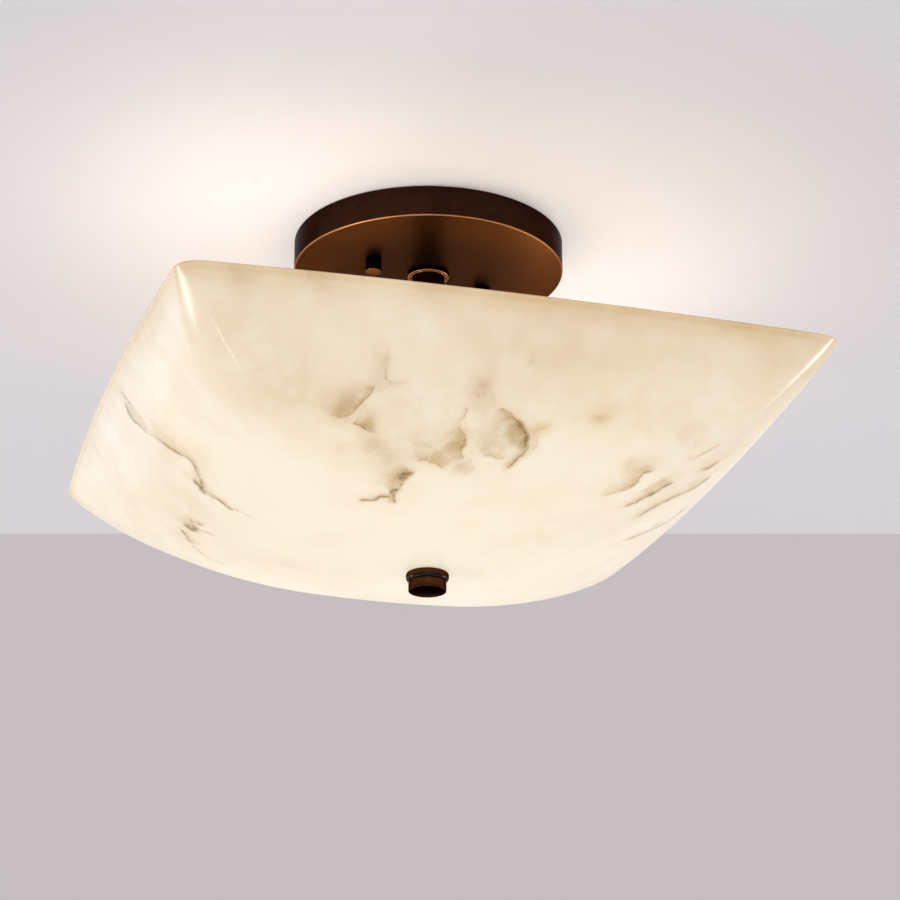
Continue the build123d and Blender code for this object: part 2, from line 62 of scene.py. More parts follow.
# ---- Shader wiring ----
class Wiring:
    """Adds and joins the nodes of one material, world or node group."""

    def __init__(self, tree: bpy.types.NodeTree) -> None:
        """Take the node tree to work on."""
        self.tree = tree

    def feed(self, node: bpy.types.Node, feeds: dict[Union[str, int], Feed]) -> None:
        """Fill a node's inputs.

        Args:
            node: The node.
            feeds: A socket, a number or a colour for each input, by the input's name or number.
        """
        for name, value in feeds.items():
            target = node.inputs[name]
            if isinstance(value, Socket):
                self.tree.links.new(value, target)
            else:
                target.default_value = (*value, 1.0) if target.type == "RGBA" else value

    def add(self, kind: str, feeds: dict[Union[str, int], Feed] | None = None,
            **settings: object) -> bpy.types.Node:
        """Add one node.

        Args:
            kind: The node's type name, without its "ShaderNode" start.
            feeds: What its inputs get.
            settings: Properties of the node itself.

        Returns:
            The new node.
        """
        node = self.tree.nodes.new(kind if kind.startswith("Node") else "ShaderNode" + kind)
        for name, value in settings.items():
            setattr(node, name, value)
        self.feed(node, feeds or {})
        return node

    def math(self, operation: str, first: Feed, *others: Feed, clamp: bool = False) -> Socket:
        """Work a sum from left to right.

        Args:
            operation: Blender's name of the sum.
            first: Its first value.
            others: The values that follow, if it takes more than one.
            clamp: Whether the last result is kept between 0 and 1.

        Returns:
            The result's socket.
        """
        for left, value in zip(range(len(others) or 1, 0, -1), others or (0.0,)):
            held = clamp and left == 1
            node = self.add("Math", {0: first, 1: value}, operation=operation, use_clamp=held)
            first = node.outputs[0]
        return first

    def times(self, *values: Feed, clamp: bool = False) -> Socket:
        """Multiply values."""
        return self.math("MULTIPLY", *values, clamp=clamp)

    def plus(self, *values: Feed, clamp: bool = False) -> Socket:
        """Add values up."""
        return self.math("ADD", *values, clamp=clamp)

    def minus(self, first: Feed, second: Feed) -> Socket:
        """Take the second value from the first."""
        return self.math("SUBTRACT", first, second)

    def most(self, *values: Feed) -> Socket:
        """The greatest of some values."""
        return self.math("MAXIMUM", *values)

    def span(self, value: Feed, low: Feed, high: Feed, start: Feed = 0.0, end: Feed = 1.0,
             smooth: bool = True) -> Socket:
        """Carry a range of values over to another range.

        Args:
            value: What is carried over.
            low: The value that becomes start.
            high: The value that becomes end.
            start: The result at low.
            end: The result at high.
            smooth: Whether the change eases in and out.

        Returns:
            The result's socket.
        """
        kind = "SMOOTHSTEP" if smooth else "LINEAR"
        feeds = {0: value, 1: low, 2: high, 3: start, 4: end}
        return self.add("MapRange", feeds, interpolation_type=kind).outputs[0]

    def blend(self, share: Feed, under: Feed, over: Feed, how: str = "MIX") -> Socket:
        """Lay one colour over another by a share, in the way that Blender calls how."""
        feeds = {0: share, 6: under, 7: over}
        return self.add("Mix", feeds, data_type="RGBA", blend_type=how, clamp_factor=True).outputs[2]

    def tinted(self, share: Feed, colour: Feed, tint: Feed) -> Socket:
        """Multiply a colour by a tint where the share says so."""
        return self.blend(share, colour, self.blend(1.0, colour, tint, "MULTIPLY"))

    def place(self) -> Socket:
        """The point of the surface in the piece's own frame."""
        return self.add("TexCoord").outputs["Object"]

    def parts(self, vector: Socket) -> Sockets:
        """The three values of a vector."""
        return self.add("SeparateXYZ", {0: vector}).outputs

    def attribute(self, name: str) -> Sockets:
        """The three values that the mesh keeps under a name."""
        return self.parts(self.add("Attribute", attribute_name=name).outputs["Vector"])

    def facing(self) -> Socket:
        """How far the surface faces up, from -1 to 1."""
        return self.parts(self.add("TexCoord").outputs["Normal"])[2]

    def noise(self, place: Socket, scale: Feed, detail: float, rough: float,
              twist: float = 0.0) -> Socket:
        """A soft random value over the surface.

        Args:
            place: Where on the surface it is read.
            scale: How many of its lumps fit in a metre.
            detail: How many finer layers lie over it.
            rough: How strong those layers are.
            twist: How much it is drawn out of shape.

        Returns:
            The value's socket, from 0 to 1.
        """
        feeds = {"Vector": place, "Scale": scale, "Detail": detail, "Roughness": rough,
                 "Distortion": twist}
        return self.add("TexNoise", feeds).outputs["Fac"]

    def bump(self, height: Socket, strength: float, distance: float) -> Socket:
        """A normal that follows a height, which is the distance in metres at the value 1."""
        feeds = {"Height": height, "Strength": strength, "Distance": distance}
        return self.add("Bump", feeds).outputs["Normal"]


@dataclass(frozen=True)
class Effect:
    """An effect that several finishes share: a node group, built once.

    Attributes:
        name: The group's name.
        inputs: Its inputs and their usual values.
        fill: What wires its inside from its inputs, and gives its outputs by name.
    """

    name: str
    inputs: dict[str, float]
    fill: Callable[[Wiring, Sockets], dict[str, Socket]]

    def tree(self) -> bpy.types.NodeTree:
        """Find the node group, or build it the first time.

        Returns:
            The node group.
        """
        found = bpy.data.node_groups.get(self.name)
        if found:
            return found
        tree = bpy.data.node_groups.new(self.name, "ShaderNodeTree")
        new_socket = tree.interface.new_socket
        for title, usual in self.inputs.items():
            new_socket(title, in_out="INPUT", socket_type="NodeSocketFloat").default_value = usual
        wiring = Wiring(tree)
        results = self.fill(wiring, wiring.add("NodeGroupInput").outputs)
        for title in results:
            new_socket(title, in_out="OUTPUT", socket_type="NodeSocketFloat")
        wiring.feed(wiring.add("NodeGroupOutput"), results)
        return tree

    def place(self, wiring: Wiring, **feeds: Feed) -> Sockets:
        """Put the group into a material with its own values, and give its outputs."""
        return wiring.add("Group", feeds, node_tree=self.tree()).outputs


def grain(wiring: Wiring, given: Sockets) -> dict[str, Socket]:
    """Soft unevenness in two sizes, the finer one an eleventh of the other.

    Args:
        wiring: The group's wiring.
        given: Its inputs.

    Returns:
        The mottling, and the finer part alone.
    """
    place = wiring.place()
    coarse = wiring.noise(place, given["Scale"], 3.0, 0.55, 0.3)
    fine = wiring.noise(place, wiring.times(given["Scale"], 11.0), 2.0, 0.6)
    lifted = wiring.times(wiring.minus(fine, 0.5), given["Fine"])
    return {"Value": wiring.plus(coarse, lifted, clamp=True), "Fine Value": fine}


def rub(wiring: Wiring, given: Sockets) -> dict[str, Socket]:
    """Where hands and cloths have rubbed the edges: a rounded normal leaves the surface's own.

    Args:
        wiring: The group's wiring.
        given: Its inputs.

    Returns:
        Where it is rubbed.
    """
    rounded = wiring.add("Bevel", {"Radius": given["Width"]}, samples=4).outputs[0]
    own = wiring.add("NewGeometry").outputs["Normal"]
    same = wiring.add("VectorMath", {0: rounded, 1: own}, operation="DOT_PRODUCT").outputs["Value"]
    edge = wiring.span(wiring.minus(1.0, same), 0.02, 0.22)
    broken = wiring.noise(wiring.place(), given["Scale"], 4.0, 0.6, 0.4)
    return {"Mask": wiring.times(edge, wiring.span(broken, 0.3, 0.62), given["Amount"], clamp=True)}


def turning(wiring: Wiring, given: Sockets) -> dict[str, Socket]:
    """Fine rings about the upright centre line, as a lathe leaves them.

    Args:
        wiring: The group's wiring.
        given: Its inputs.

    Returns:
        The rings' height, and the distance from the line.
    """
    x, y, z = wiring.parts(wiring.place())
    radius = wiring.math("SQRT", wiring.plus(wiring.times(x, x), wiring.times(y, y)))
    flat = wiring.add("CombineXYZ", {0: radius, 2: z}).outputs[0]
    return {"Height": wiring.noise(flat, given["Scale"], 2.0, 0.7), "Radius": radius}


def specks(wiring: Wiring, given: Sockets) -> dict[str, Socket]:
    """Small scattered dots, such as dust or grains in glass: the hearts of some cells.

    Args:
        wiring: The group's wiring.
        given: Its inputs.

    Returns:
        Where the dots are.
    """
    feeds = {"Vector": wiring.place(), "Scale": given["Scale"], "Randomness": 1.0}
    cells = wiring.add("TexVoronoi", feeds).outputs
    dot = wiring.span(cells["Distance"], given["Size"], 0.0)
    tint = wiring.add("SeparateColor", {0: cells["Color"]}).outputs[0]
    return {"Mask": wiring.times(dot, wiring.math("LESS_THAN", tint, given["Share"]))}


GRAIN = Effect("surface_grain", {"Scale": 60.0, "Fine": 0.4}, grain)
RUB = Effect("edge_rub", {"Width": 0.0006, "Scale": 240.0, "Amount": 1.0}, rub)
TURNING = Effect("turning_rings", {"Scale": 2200.0}, turning)
SPECKS = Effect("specks", {"Scale": 300.0, "Size": 0.2, "Share": 0.15}, specks)


# ---- Finishes ----
def new_material(name: str) -> tuple[bpy.types.Material, Wiring, bpy.types.Node]:
    """Make a material.

    Args:
        name: Its name.

    Returns:
        The material, its wiring and its shader node.
    """
    made = bpy.data.materials.new(name)
    made.use_nodes = True
    return made, Wiring(made.node_tree), made.node_tree.nodes["Principled BSDF"]


@dataclass(frozen=True)
class Finish:
    """A surface finish that pieces are dressed with."""

    name: str

    def wire(self, wiring: Wiring, shader: bpy.types.Node) -> None:
        """Set up the shader; each kind of finish has its own way."""
        raise NotImplementedError

    def material(self) -> bpy.types.Material:
        """Build this finish the first time, and give the same material after that.

        Returns:
            The material.
        """
        title = "finish_" + self.name
        made = bpy.data.materials.get(title)
        if not made:
            made, wiring, shader = new_material(title)
            self.wire(wiring, shader)
        return made

    @staticmethod
    def varied(wiring: Wiring, value: Socket, middle: float, spread: float) -> Socket:
        """A roughness about a middle value that follows the grain."""
        return wiring.span(value, 0.2, 0.8, middle - spread / 2, middle + spread / 2)


@dataclass(frozen=True)
class Metal(Finish):
    """Bare, plated or patinated metal, with painted light and shade on what looks down."""

    dark: Colour
    light: Colour
    worn: Colour
    roughness: float = 0.3
    spread: float = 0.12
    scale: float = 45.0
    rub_width: float = 0.0005
    rub_amount: float = 0.7
    turned: bool = False
    grazing: Colour = (1.0, 1.0, 1.0)
    coat: float = 0.0
    # Painted light: face is the lit colour of faces that look down, heart is painted shade near the
    # centre line, and edge is a painted highlight or painted shade on the rounded edges that lead down.
    face: Colour | None = None
    heart: Colour | None = None
    edge: Colour | None = None
    centre_shade_radii: Point = (70.0 * MM, 25.0 * MM)
    coat_roughness: float = 0.1
    ring_scale: float = 2600.0
    ring_depth: float = 1.5
    bump: float = 0.12
    bump_depth: float = 0.03 * MM

    def painted_underside_light(self, wiring: Wiring, body: Socket, mottle: Socket) -> tuple[Socket, Socket]:
        """Paint light and shade on the faces that look down and on the rounded edges that lead to them.

        Args:
            wiring: The material's wiring.
            body: The colour so far.
            mottle: The metal's mottling.

        Returns:
            The new colour, and where the rounded edges are.
        """
        down = wiring.times(wiring.facing(), -1.0)
        lip = wiring.times(wiring.span(down, 0.12, 0.45), wiring.span(down, 0.99, 0.9))
        # Painted light on the faces that look down, with painted shade near the centre line.
        if self.face:
            face = wiring.blend(mottle, tuple(channel * 0.8 for channel in self.face), self.face)
            if self.heart:
                near = wiring.span(TURNING.place(wiring)["Radius"], *self.centre_shade_radii)
                face = wiring.blend(near, face, self.heart)
            body = wiring.blend(wiring.span(down, 0.7, 0.97), body, face)
        # Painted highlight or painted shade on the rounded edges that lead down.
        if self.edge:
            share = wiring.times(lip, wiring.span(mottle, 0.0, 1.0, 0.75, 1.0))
            body = wiring.blend(share, body, self.edge)
        return body, lip

    def wire(self, wiring: Wiring, shader: bpy.types.Node) -> None:
        """Mottle the metal, paint light and shade on what looks down, brighten its rubbed edges and vary
        its gloss.

        Args:
            wiring: The material's wiring.
            shader: Its shader node.
        """
        uneven = GRAIN.place(wiring, Scale=self.scale, Fine=0.5)
        rubbed = RUB.place(wiring, Width=self.rub_width, Amount=self.rub_amount)["Mask"]
        mottle = wiring.span(uneven["Value"], 0.25, 0.8)
        body, lip = self.painted_underside_light(wiring, wiring.blend(mottle, self.dark, self.light), mottle)
        height = uneven["Fine Value"]
        if self.turned:
            rings = TURNING.place(wiring, Scale=self.ring_scale)["Height"]
            height = wiring.plus(height, wiring.times(rings, self.ring_depth))
        wiring.feed(shader, {
            "Base Color": wiring.blend(rubbed, body, self.worn),
            "Roughness": self.varied(wiring, uneven["Value"], self.roughness, self.spread),
            "Normal": wiring.bump(height, self.bump, self.bump_depth),
            "Metallic": 1.0,
            "Specular Tint": self.grazing,
        })
        if self.coat:
            coat = wiring.times(lip, self.coat)
            wiring.feed(shader, {"Coat Weight": coat, "Coat Roughness": self.coat_roughness})


@dataclass(frozen=True)
class Moulded(Finish):
    """Plastic, rubber, paint, fibre or another finish that isn't bare metal."""

    dark: Colour
    light: Colour
    roughness: float = 0.45
    spread: float = 0.15
    scale: float = 120.0
    bump: float = 0.15
    dusty: float = 0.1
    glow: Colour | None = None
    glow_strength: float = 0.0
    bump_depth: float = 0.06 * MM
    dust_scale: float = 900.0
    dust_size: float = 0.22

    def wire(self, wiring: Wiring, shader: bpy.types.Node) -> None:
        """Mottle the surface, with a fine texture and a little pale dust.

        Args:
            wiring: The material's wiring.
            shader: Its shader node.
        """
        uneven = GRAIN.place(wiring, Scale=self.scale, Fine=0.6)
        feeds = {"Scale": self.dust_scale, "Size": self.dust_size, "Share": self.dusty}
        dust = SPECKS.place(wiring, **feeds)["Mask"]
        body = wiring.blend(wiring.span(uneven["Value"], 0.25, 0.8), self.dark, self.light)
        pale = tuple(min(1.0, channel * 1.5 + 0.06) for channel in self.light)
        wiring.feed(shader, {
            "Base Color": wiring.blend(wiring.times(dust, 0.5), body, pale),
            "Roughness": self.varied(wiring, uneven["Value"], self.roughness, self.spread),
            "Normal": wiring.bump(uneven["Fine Value"], self.bump, self.bump_depth),
        })
        if self.glow:
            warmth = wiring.blend(wiring.span(uneven["Value"], 0.2, 0.8), self.glow, self.light)
            wiring.feed(shader, {"Emission Color": warmth, "Emission Strength": self.glow_strength})


# What each mark on the glass multiplies its colour and its glow by, in the order they are laid on.
# Of these marks, the line under the rim's round is a painted shadow; the band under the rim only darkens
# the colour there.
GLASS_TINTS: dict[str, Colour] = {
    "darker_under_rim": (0.90, 0.82, 0.68), "rim_shadow_line": (0.94, 0.89, 0.79), "lip": (0.86, 0.73, 0.53),
    "smudge": (0.93, 0.87, 0.78), "golden": (0.90, 0.82, 0.62), "brown": (0.70, 0.62, 0.48),
    "halo": (0.73, 0.63, 0.48), "line": (0.56, 0.42, 0.24), "core": (0.38, 0.34, 0.28),
    "dots": (0.55, 0.42, 0.28),
}
# The noises of the glass: lumps in a metre, finer layers, their strength, and how drawn out they are.
GLASS_NOISES: dict[str, tuple[float, float, float, float]] = {
    "broad": (13.0, 3.0, 0.5, 0.4), "middling": (42.0, 5.0, 0.58, 0.5),
    "small": (170.0, 3.0, 0.6, 0.3), "cloudy": (58.0, 5.0, 0.62, 0.6),
    "smudge": (24.0, 5.0, 0.62, 0.3), "worn": (90.0, 3.0, 0.6, 0.0),
    "drift": (70.0, 3.0, 0.6, 0.4), "jitter": (330.0, 4.0, 0.6, 0.3),
    "patchy": (110.0, 3.0, 0.6, 0.2), "wave": (26.0, 2.0, 0.5, 0.0),
}


@dataclass(frozen=True)
class MarbledGlass(Finish):
    """Cream glass with brown veins and soft clouds; its glow is painted light from the lamps behind it.
    """

    layers: int
    low_z: float
    high_z: float
    # Painted light: the glow colours and strength stand in for the lamps shining through the glass. The
    # deep colours show in the clouds and, as painted shade, towards the rim.
    pale_body: Colour = (0.62, 0.55, 0.44)
    deep_body: Colour = (0.56, 0.455, 0.325)
    pale_glow: Colour = (1.0, 0.90, 0.70)
    deep_glow: Colour = (0.90, 0.72, 0.49)
    inside_glow_tint: Colour = (0.50, 0.54, 0.60)
    glow_strength: float = 0.68
    rim_glow: float = 0.80
    coat: float = 0.36
    coat_roughness: float = 0.09
    wave: float = 0.2
    wave_depth: float = 0.5 * MM
    vein_drift: float = 4.6 * MM
    vein_jitter: float = 2.2 * MM

    def wire(self, wiring: Wiring, shader: bpy.types.Node) -> None:
        """Lay clouds, stains and veins over the painted glow of the lamps, with painted shade towards
        the rim.

        Args:
            wiring: The material's wiring.
            shader: Its shader node.
        """
        place = wiring.place()
        height = wiring.parts(place)[2]
        rise = wiring.span(height, self.low_z, self.high_z, smooth=False)
        noises = {name: wiring.noise(place, *values) for name, values in GLASS_NOISES.items()}
        cloudy = wiring.span(noises["cloudy"], 0.3, 0.7, 0.3, 1.3)
        # Clouds of deeper colour, plus painted shade that deepens the colour towards the rim.
        clouds_and_rim_shade = wiring.plus(wiring.times(rise, 0.45),
                            wiring.span(noises["broad"], 0.3, 0.72, -0.1, 0.36),
                            wiring.span(noises["middling"], 0.34, 0.68, -0.1, 0.16),
                            wiring.span(noises["small"], 0.3, 0.7, -0.02, 0.02), clamp=True)
        # Painted light: the glow dims towards the rim.
        lamps = wiring.span(rise, 0.0, 1.0, 1.0, self.rim_glow, smooth=False)
        grey = wiring.add("CombineColor", {0: lamps, 1: lamps, 2: lamps}).outputs[0]
        body = wiring.blend(clouds_and_rim_shade, self.pale_body, self.deep_body)
        glow = wiring.blend(clouds_and_rim_shade, self.pale_glow, self.deep_glow)
        glow = wiring.blend(1.0, glow, grey, "MULTIPLY")

        stain = wiring.attribute("stain")
        dots = SPECKS.place(wiring, Scale=115.0, Size=0.055, Share=0.14)["Mask"]
        marks = {
            "smudge": wiring.span(noises["smudge"], 0.55, 0.78, 0.0, 0.7),
            "brown": wiring.times(stain[0], cloudy, clamp=True),
            "golden": wiring.times(stain[1], cloudy, clamp=True),
            "dots": wiring.times(dots, 0.5),
            **self.rim(wiring, noises, wiring.minus(self.high_z, height)),
            **self.veins(wiring, noises, cloudy),
        }
        for mark, tint in GLASS_TINTS.items():
            body = wiring.tinted(marks[mark], body, tint)
            glow = wiring.tinted(marks[mark], glow, tint)
        # Painted light: the glow of the faces that look up, the inside of the bowl, is tinted weaker and
        # cooler.
        upward = wiring.span(wiring.facing(), -0.1, 0.2)
        wiring.feed(shader, {
            "Base Color": body,
            "Emission Color": wiring.tinted(upward, glow, self.inside_glow_tint),
            "Emission Strength": self.glow_strength,
            "Roughness": wiring.span(noises["small"], 0.3, 0.7, 0.16, 0.24),
            "Coat Weight": self.coat,
            "Coat Roughness": self.coat_roughness,
            "Normal": wiring.bump(noises["wave"], self.wave, self.wave_depth),
        })

    @staticmethod
    def rim(wiring: Wiring, noises: dict[str, Socket], below: Socket) -> dict[str, Socket]:
        """A darker band under the rim, a painted shadow line under its round that leaves a pale line
        above it, and the browner edge itself.

        Args:
            wiring: The material's wiring.
            noises: The noises of the glass.
            below: How far the surface lies under the rim.

        Returns:
            How much of each mark shows.
        """
        # This noise only breaks up the painted shadow line and the edge colour.
        worn = wiring.span(noises["worn"], 0.3, 0.65, 0.35, 1.0)
        darker_under_rim = wiring.span(below, 13.0 * MM, 1.5 * MM)
        # Painted shade: a shadow line under the rim's round, broken up by the worn noise.
        rim_shadow_line = wiring.span(below, 1.0 * MM, 1.6 * MM), wiring.span(below, 4.2 * MM, 2.6 * MM)
        return {
            "darker_under_rim": wiring.times(darker_under_rim, wiring.span(noises["broad"], 0.3, 0.7, 0.25, 0.9)),
            "rim_shadow_line": wiring.times(*rim_shadow_line, worn),
            "lip": wiring.times(wiring.span(below, 1.2 * MM, 0.5 * MM), worn),
        }

    def veins(self, wiring: Wiring, noises: dict[str, Socket], cloudy: Socket) -> dict[str, Socket]:
        """Join the layers of veins and roughen them.

        Args:
            wiring: The material's wiring.
            noises: The noises of the glass.
            cloudy: The clouds that break up the veins' shadows.

        Returns:
            How much of the veins' shadow, line and dark heart shows.
        """
        drift, jitter = (wiring.minus(noises[name], 0.5) for name in ("drift", "jitter"))
        shift = wiring.plus(wiring.times(drift, self.vein_drift),
                            wiring.times(jitter, self.vein_jitter))
        patchy = wiring.span(noises["patchy"], 0.32, 0.66, 0.35, 1.25)
        line = core = halo = 0.0
        for layer in range(self.layers):
            side, width, shadow = wiring.attribute(f"vein_{layer}")
            tone = wiring.attribute(f"tone_{layer}")
            away = wiring.plus(side, shift)

            def thread(share: Feed, moved: float = 0.0) -> Socket:
                """A line whose width and place are shares of the vein's half width."""
                beside = wiring.plus(away, wiring.times(width, moved)) if moved else away
                return self.falloff(wiring, beside, wiring.times(width, share))

            threads = wiring.most(thread(patchy), wiring.times(thread(0.6, 2.2), 0.4),
                                  wiring.times(thread(0.5, -2.6), 0.2))
            near = self.falloff(wiring, away, wiring.most(wiring.times(width, 1.8), 1.2 * MM))
            lit = wiring.times(wiring.span(away, -0.8 * MM, 1.0 * MM), wiring.minus(1.0, near))
            line = wiring.most(line, wiring.times(threads, tone[0]))
            core = wiring.most(core, wiring.times(thread(1.4), tone[1]))
            halo = wiring.most(halo, wiring.times(shadow, wiring.minus(1.0, lit)))
        return {
            "halo": wiring.times(halo, wiring.span(cloudy, 0.3, 1.3, 0.5, 1.1), clamp=True),
            "line": wiring.times(line, wiring.span(patchy, 0.35, 1.25, 0.35, 1.0), clamp=True),
            "core": wiring.times(core, wiring.span(jitter, -0.1, 0.1, 0.35, 1.0), clamp=True),
        }

    @staticmethod
    def falloff(wiring: Wiring, away: Socket, width: Socket) -> Socket:
        """A line that is 1 at its middle and fades to both sides over its half width."""
        near = wiring.math("DIVIDE", away, wiring.most(width, 0.05 * MM))
        return wiring.math("EXPONENT", wiring.times(wiring.math("POWER", near, 2.0), -1.0))


# Painted light in these finishes: on the canopy, cap nuts and collar, face is warm lamp light painted on
# the undersides and edge a painted highlight on their rounded edges; the canopy's heart is painted shade
# near its middle. On the finial, face and edge are painted shade on its bottom and on the round under
# the bead.
BRONZE = Metal(
    "oil_rubbed_bronze", (0.026, 0.0105, 0.0065), (0.044, 0.017, 0.010), (0.30, 0.12, 0.05),
    0.38, 0.08, 24.0, 0.0007, 0.35, grazing=(0.45, 0.45, 0.46), face=(0.165, 0.060, 0.020),
    heart=(0.080, 0.034, 0.018), edge=(0.66, 0.30, 0.12))
BLACKENED = Metal(
    "blackened_bronze", (0.012, 0.0085, 0.0075), (0.022, 0.014, 0.011), (0.18, 0.08, 0.04),
    0.26, 0.08, 60.0, 0.0004, 0.3, grazing=(0.4, 0.4, 0.4), face=(0.33, 0.12, 0.045),
    edge=(0.34, 0.13, 0.05))
COPPERED = Metal(
    "turned_bronze", (0.020, 0.009, 0.006), (0.036, 0.015, 0.009), (0.62, 0.27, 0.11),
    0.24, 0.08, 60.0, 0.0006, 0.6, True, (0.45, 0.45, 0.45), face=(0.50, 0.19, 0.07),
    edge=(0.9, 0.42, 0.18))
COPPERED_DARK = Metal(
    "finial_bronze", (0.050, 0.018, 0.007), (0.095, 0.034, 0.012), (0.16, 0.07, 0.035),
    0.16, 0.06, 60.0, 0.0004, 0.35, True, (0.385, 0.37, 0.36), 0.40,
    face=(0.040, 0.021, 0.012), edge=(0.020, 0.012, 0.009))


def both(*names: str) -> tuple[str, ...]:
    """The names with 1 and with 2 in the place of their number sign."""
    return tuple(name.replace("#", side) for name in names for side in "12")


# The CAD nodes that are kept as they are: their slot's name, its finish and the nodes.
CARRIED: tuple[tuple[str, Finish, tuple[str, ...]], ...] = (
    ("bronze", BRONZE, ("stem",)),
    ("zinc_steel",
     Metal("zinc_plate", (0.50, 0.50, 0.47), (0.66, 0.66, 0.65), (0.75, 0.75, 0.74), 0.34, 0.14,
           70.0),
     ("crossbar", "crossbar_studs", "stud_lock_nuts", "canopy_nut", "canopy_lock_washer",
      "stem_pipe", "hub_nut", "cover_nut", "cover_screws", "pipe_lock_nut", "shade_pipe",
      "seat_nut", "upper_washer", *both("lampholder_#_nipple"))),
    ("hub_paint",
     Moulded("hub_paint", (0.03, 0.024, 0.019), (0.06, 0.05, 0.042), 0.4, 0.16, 80.0, 0.25, 0.05),
     ("hub", "hub_cover")),
    ("green_screw",
     Metal("green_dyed_zinc", (0.03, 0.2, 0.08), (0.06, 0.34, 0.14), (0.5, 0.55, 0.45), 0.35),
     ("ground_screw",)),
    ("tinned_brass",
     Metal("tinned_brass", (0.60, 0.57, 0.45), (0.76, 0.73, 0.62), (0.8, 0.72, 0.5), 0.3),
     ("ground_terminal",)),
    ("green_sleeve",
     Moulded("green_sleeve", (0.03, 0.24, 0.08), (0.06, 0.36, 0.14), 0.42, 0.1),
     ("ground_lead",)),
    ("black_sleeve",
     Moulded("black_sleeve", (0.018, 0.018, 0.018), (0.045, 0.045, 0.045), 0.42, 0.1),
     both("hot_lead_#")),
    ("white_sleeve",
     Moulded("white_sleeve", (0.70, 0.69, 0.64), (0.84, 0.83, 0.79), 0.42, 0.1),
     both("neutral_lead_#")),
    ("orange_cap",
     Moulded("orange_moulding", (0.72, 0.2, 0.025), (0.88, 0.32, 0.05), 0.34, 0.1),
     ("hot_connector", "neutral_connector")),
    ("green_cap",
     Moulded("green_moulding", (0.03, 0.26, 0.08), (0.06, 0.4, 0.15), 0.34, 0.1),
     ("ground_connector",)),
    ("rubber",
     Moulded("rubber", (0.025, 0.025, 0.025), (0.06, 0.06, 0.058), 0.72, 0.12, 300.0, 0.3, 0.15),
     ("upper_gasket", "lower_gasket")),
    ("black_moulding",
     Moulded("phenolic_moulding", (0.02, 0.019, 0.018), (0.05, 0.047, 0.044), 0.32, 0.14, 90.0,
             0.2, 0.08),
     both("lampholder_#_cup")),
    ("fibre",
     Moulded("fibre_board", (0.33, 0.2, 0.11), (0.52, 0.36, 0.22), 0.75, 0.1, 400.0, 0.6, 0.2),
     both("lampholder_#_insulator")),
    ("brass",
     Metal("rolled_brass", (0.62, 0.43, 0.17), (0.80, 0.60, 0.28), (0.88, 0.72, 0.4), 0.27),
     both("lampholder_#_shell", "lampholder_#_contact")),
    ("lamp_solder",
     Metal("solder", (0.5, 0.5, 0.48), (0.68, 0.68, 0.66), (0.72, 0.72, 0.7), 0.38),
     both("lamp_#_contact")),
    ("lamp_black_glass",
     Moulded("black_glass", (0.012, 0.012, 0.014), (0.03, 0.03, 0.034), 0.12, 0.05, 60.0, 0.05),
     both("lamp_#_insulator")),
    ("lamp_base_metal",
     Metal("lamp_cap_metal", (0.62, 0.62, 0.62), (0.78, 0.78, 0.78), (0.85, 0.85, 0.85), 0.3),
     both("lamp_#_base")),
    ("lamp_white_plastic",
     Moulded("white_lamp_plastic", (0.72, 0.71, 0.68), (0.84, 0.83, 0.8), 0.38, 0.1),
     both("lamp_#_collar")),
    ("frosted_glass",
     Moulded("frosted_lamp_glass", (0.86, 0.83, 0.76), (0.95, 0.91, 0.84), 0.5, 0.1, 40.0, 0.1,
             0.0, (1.0, 0.96, 0.92), 8.5),
     both("lamp_#_globe")),
)


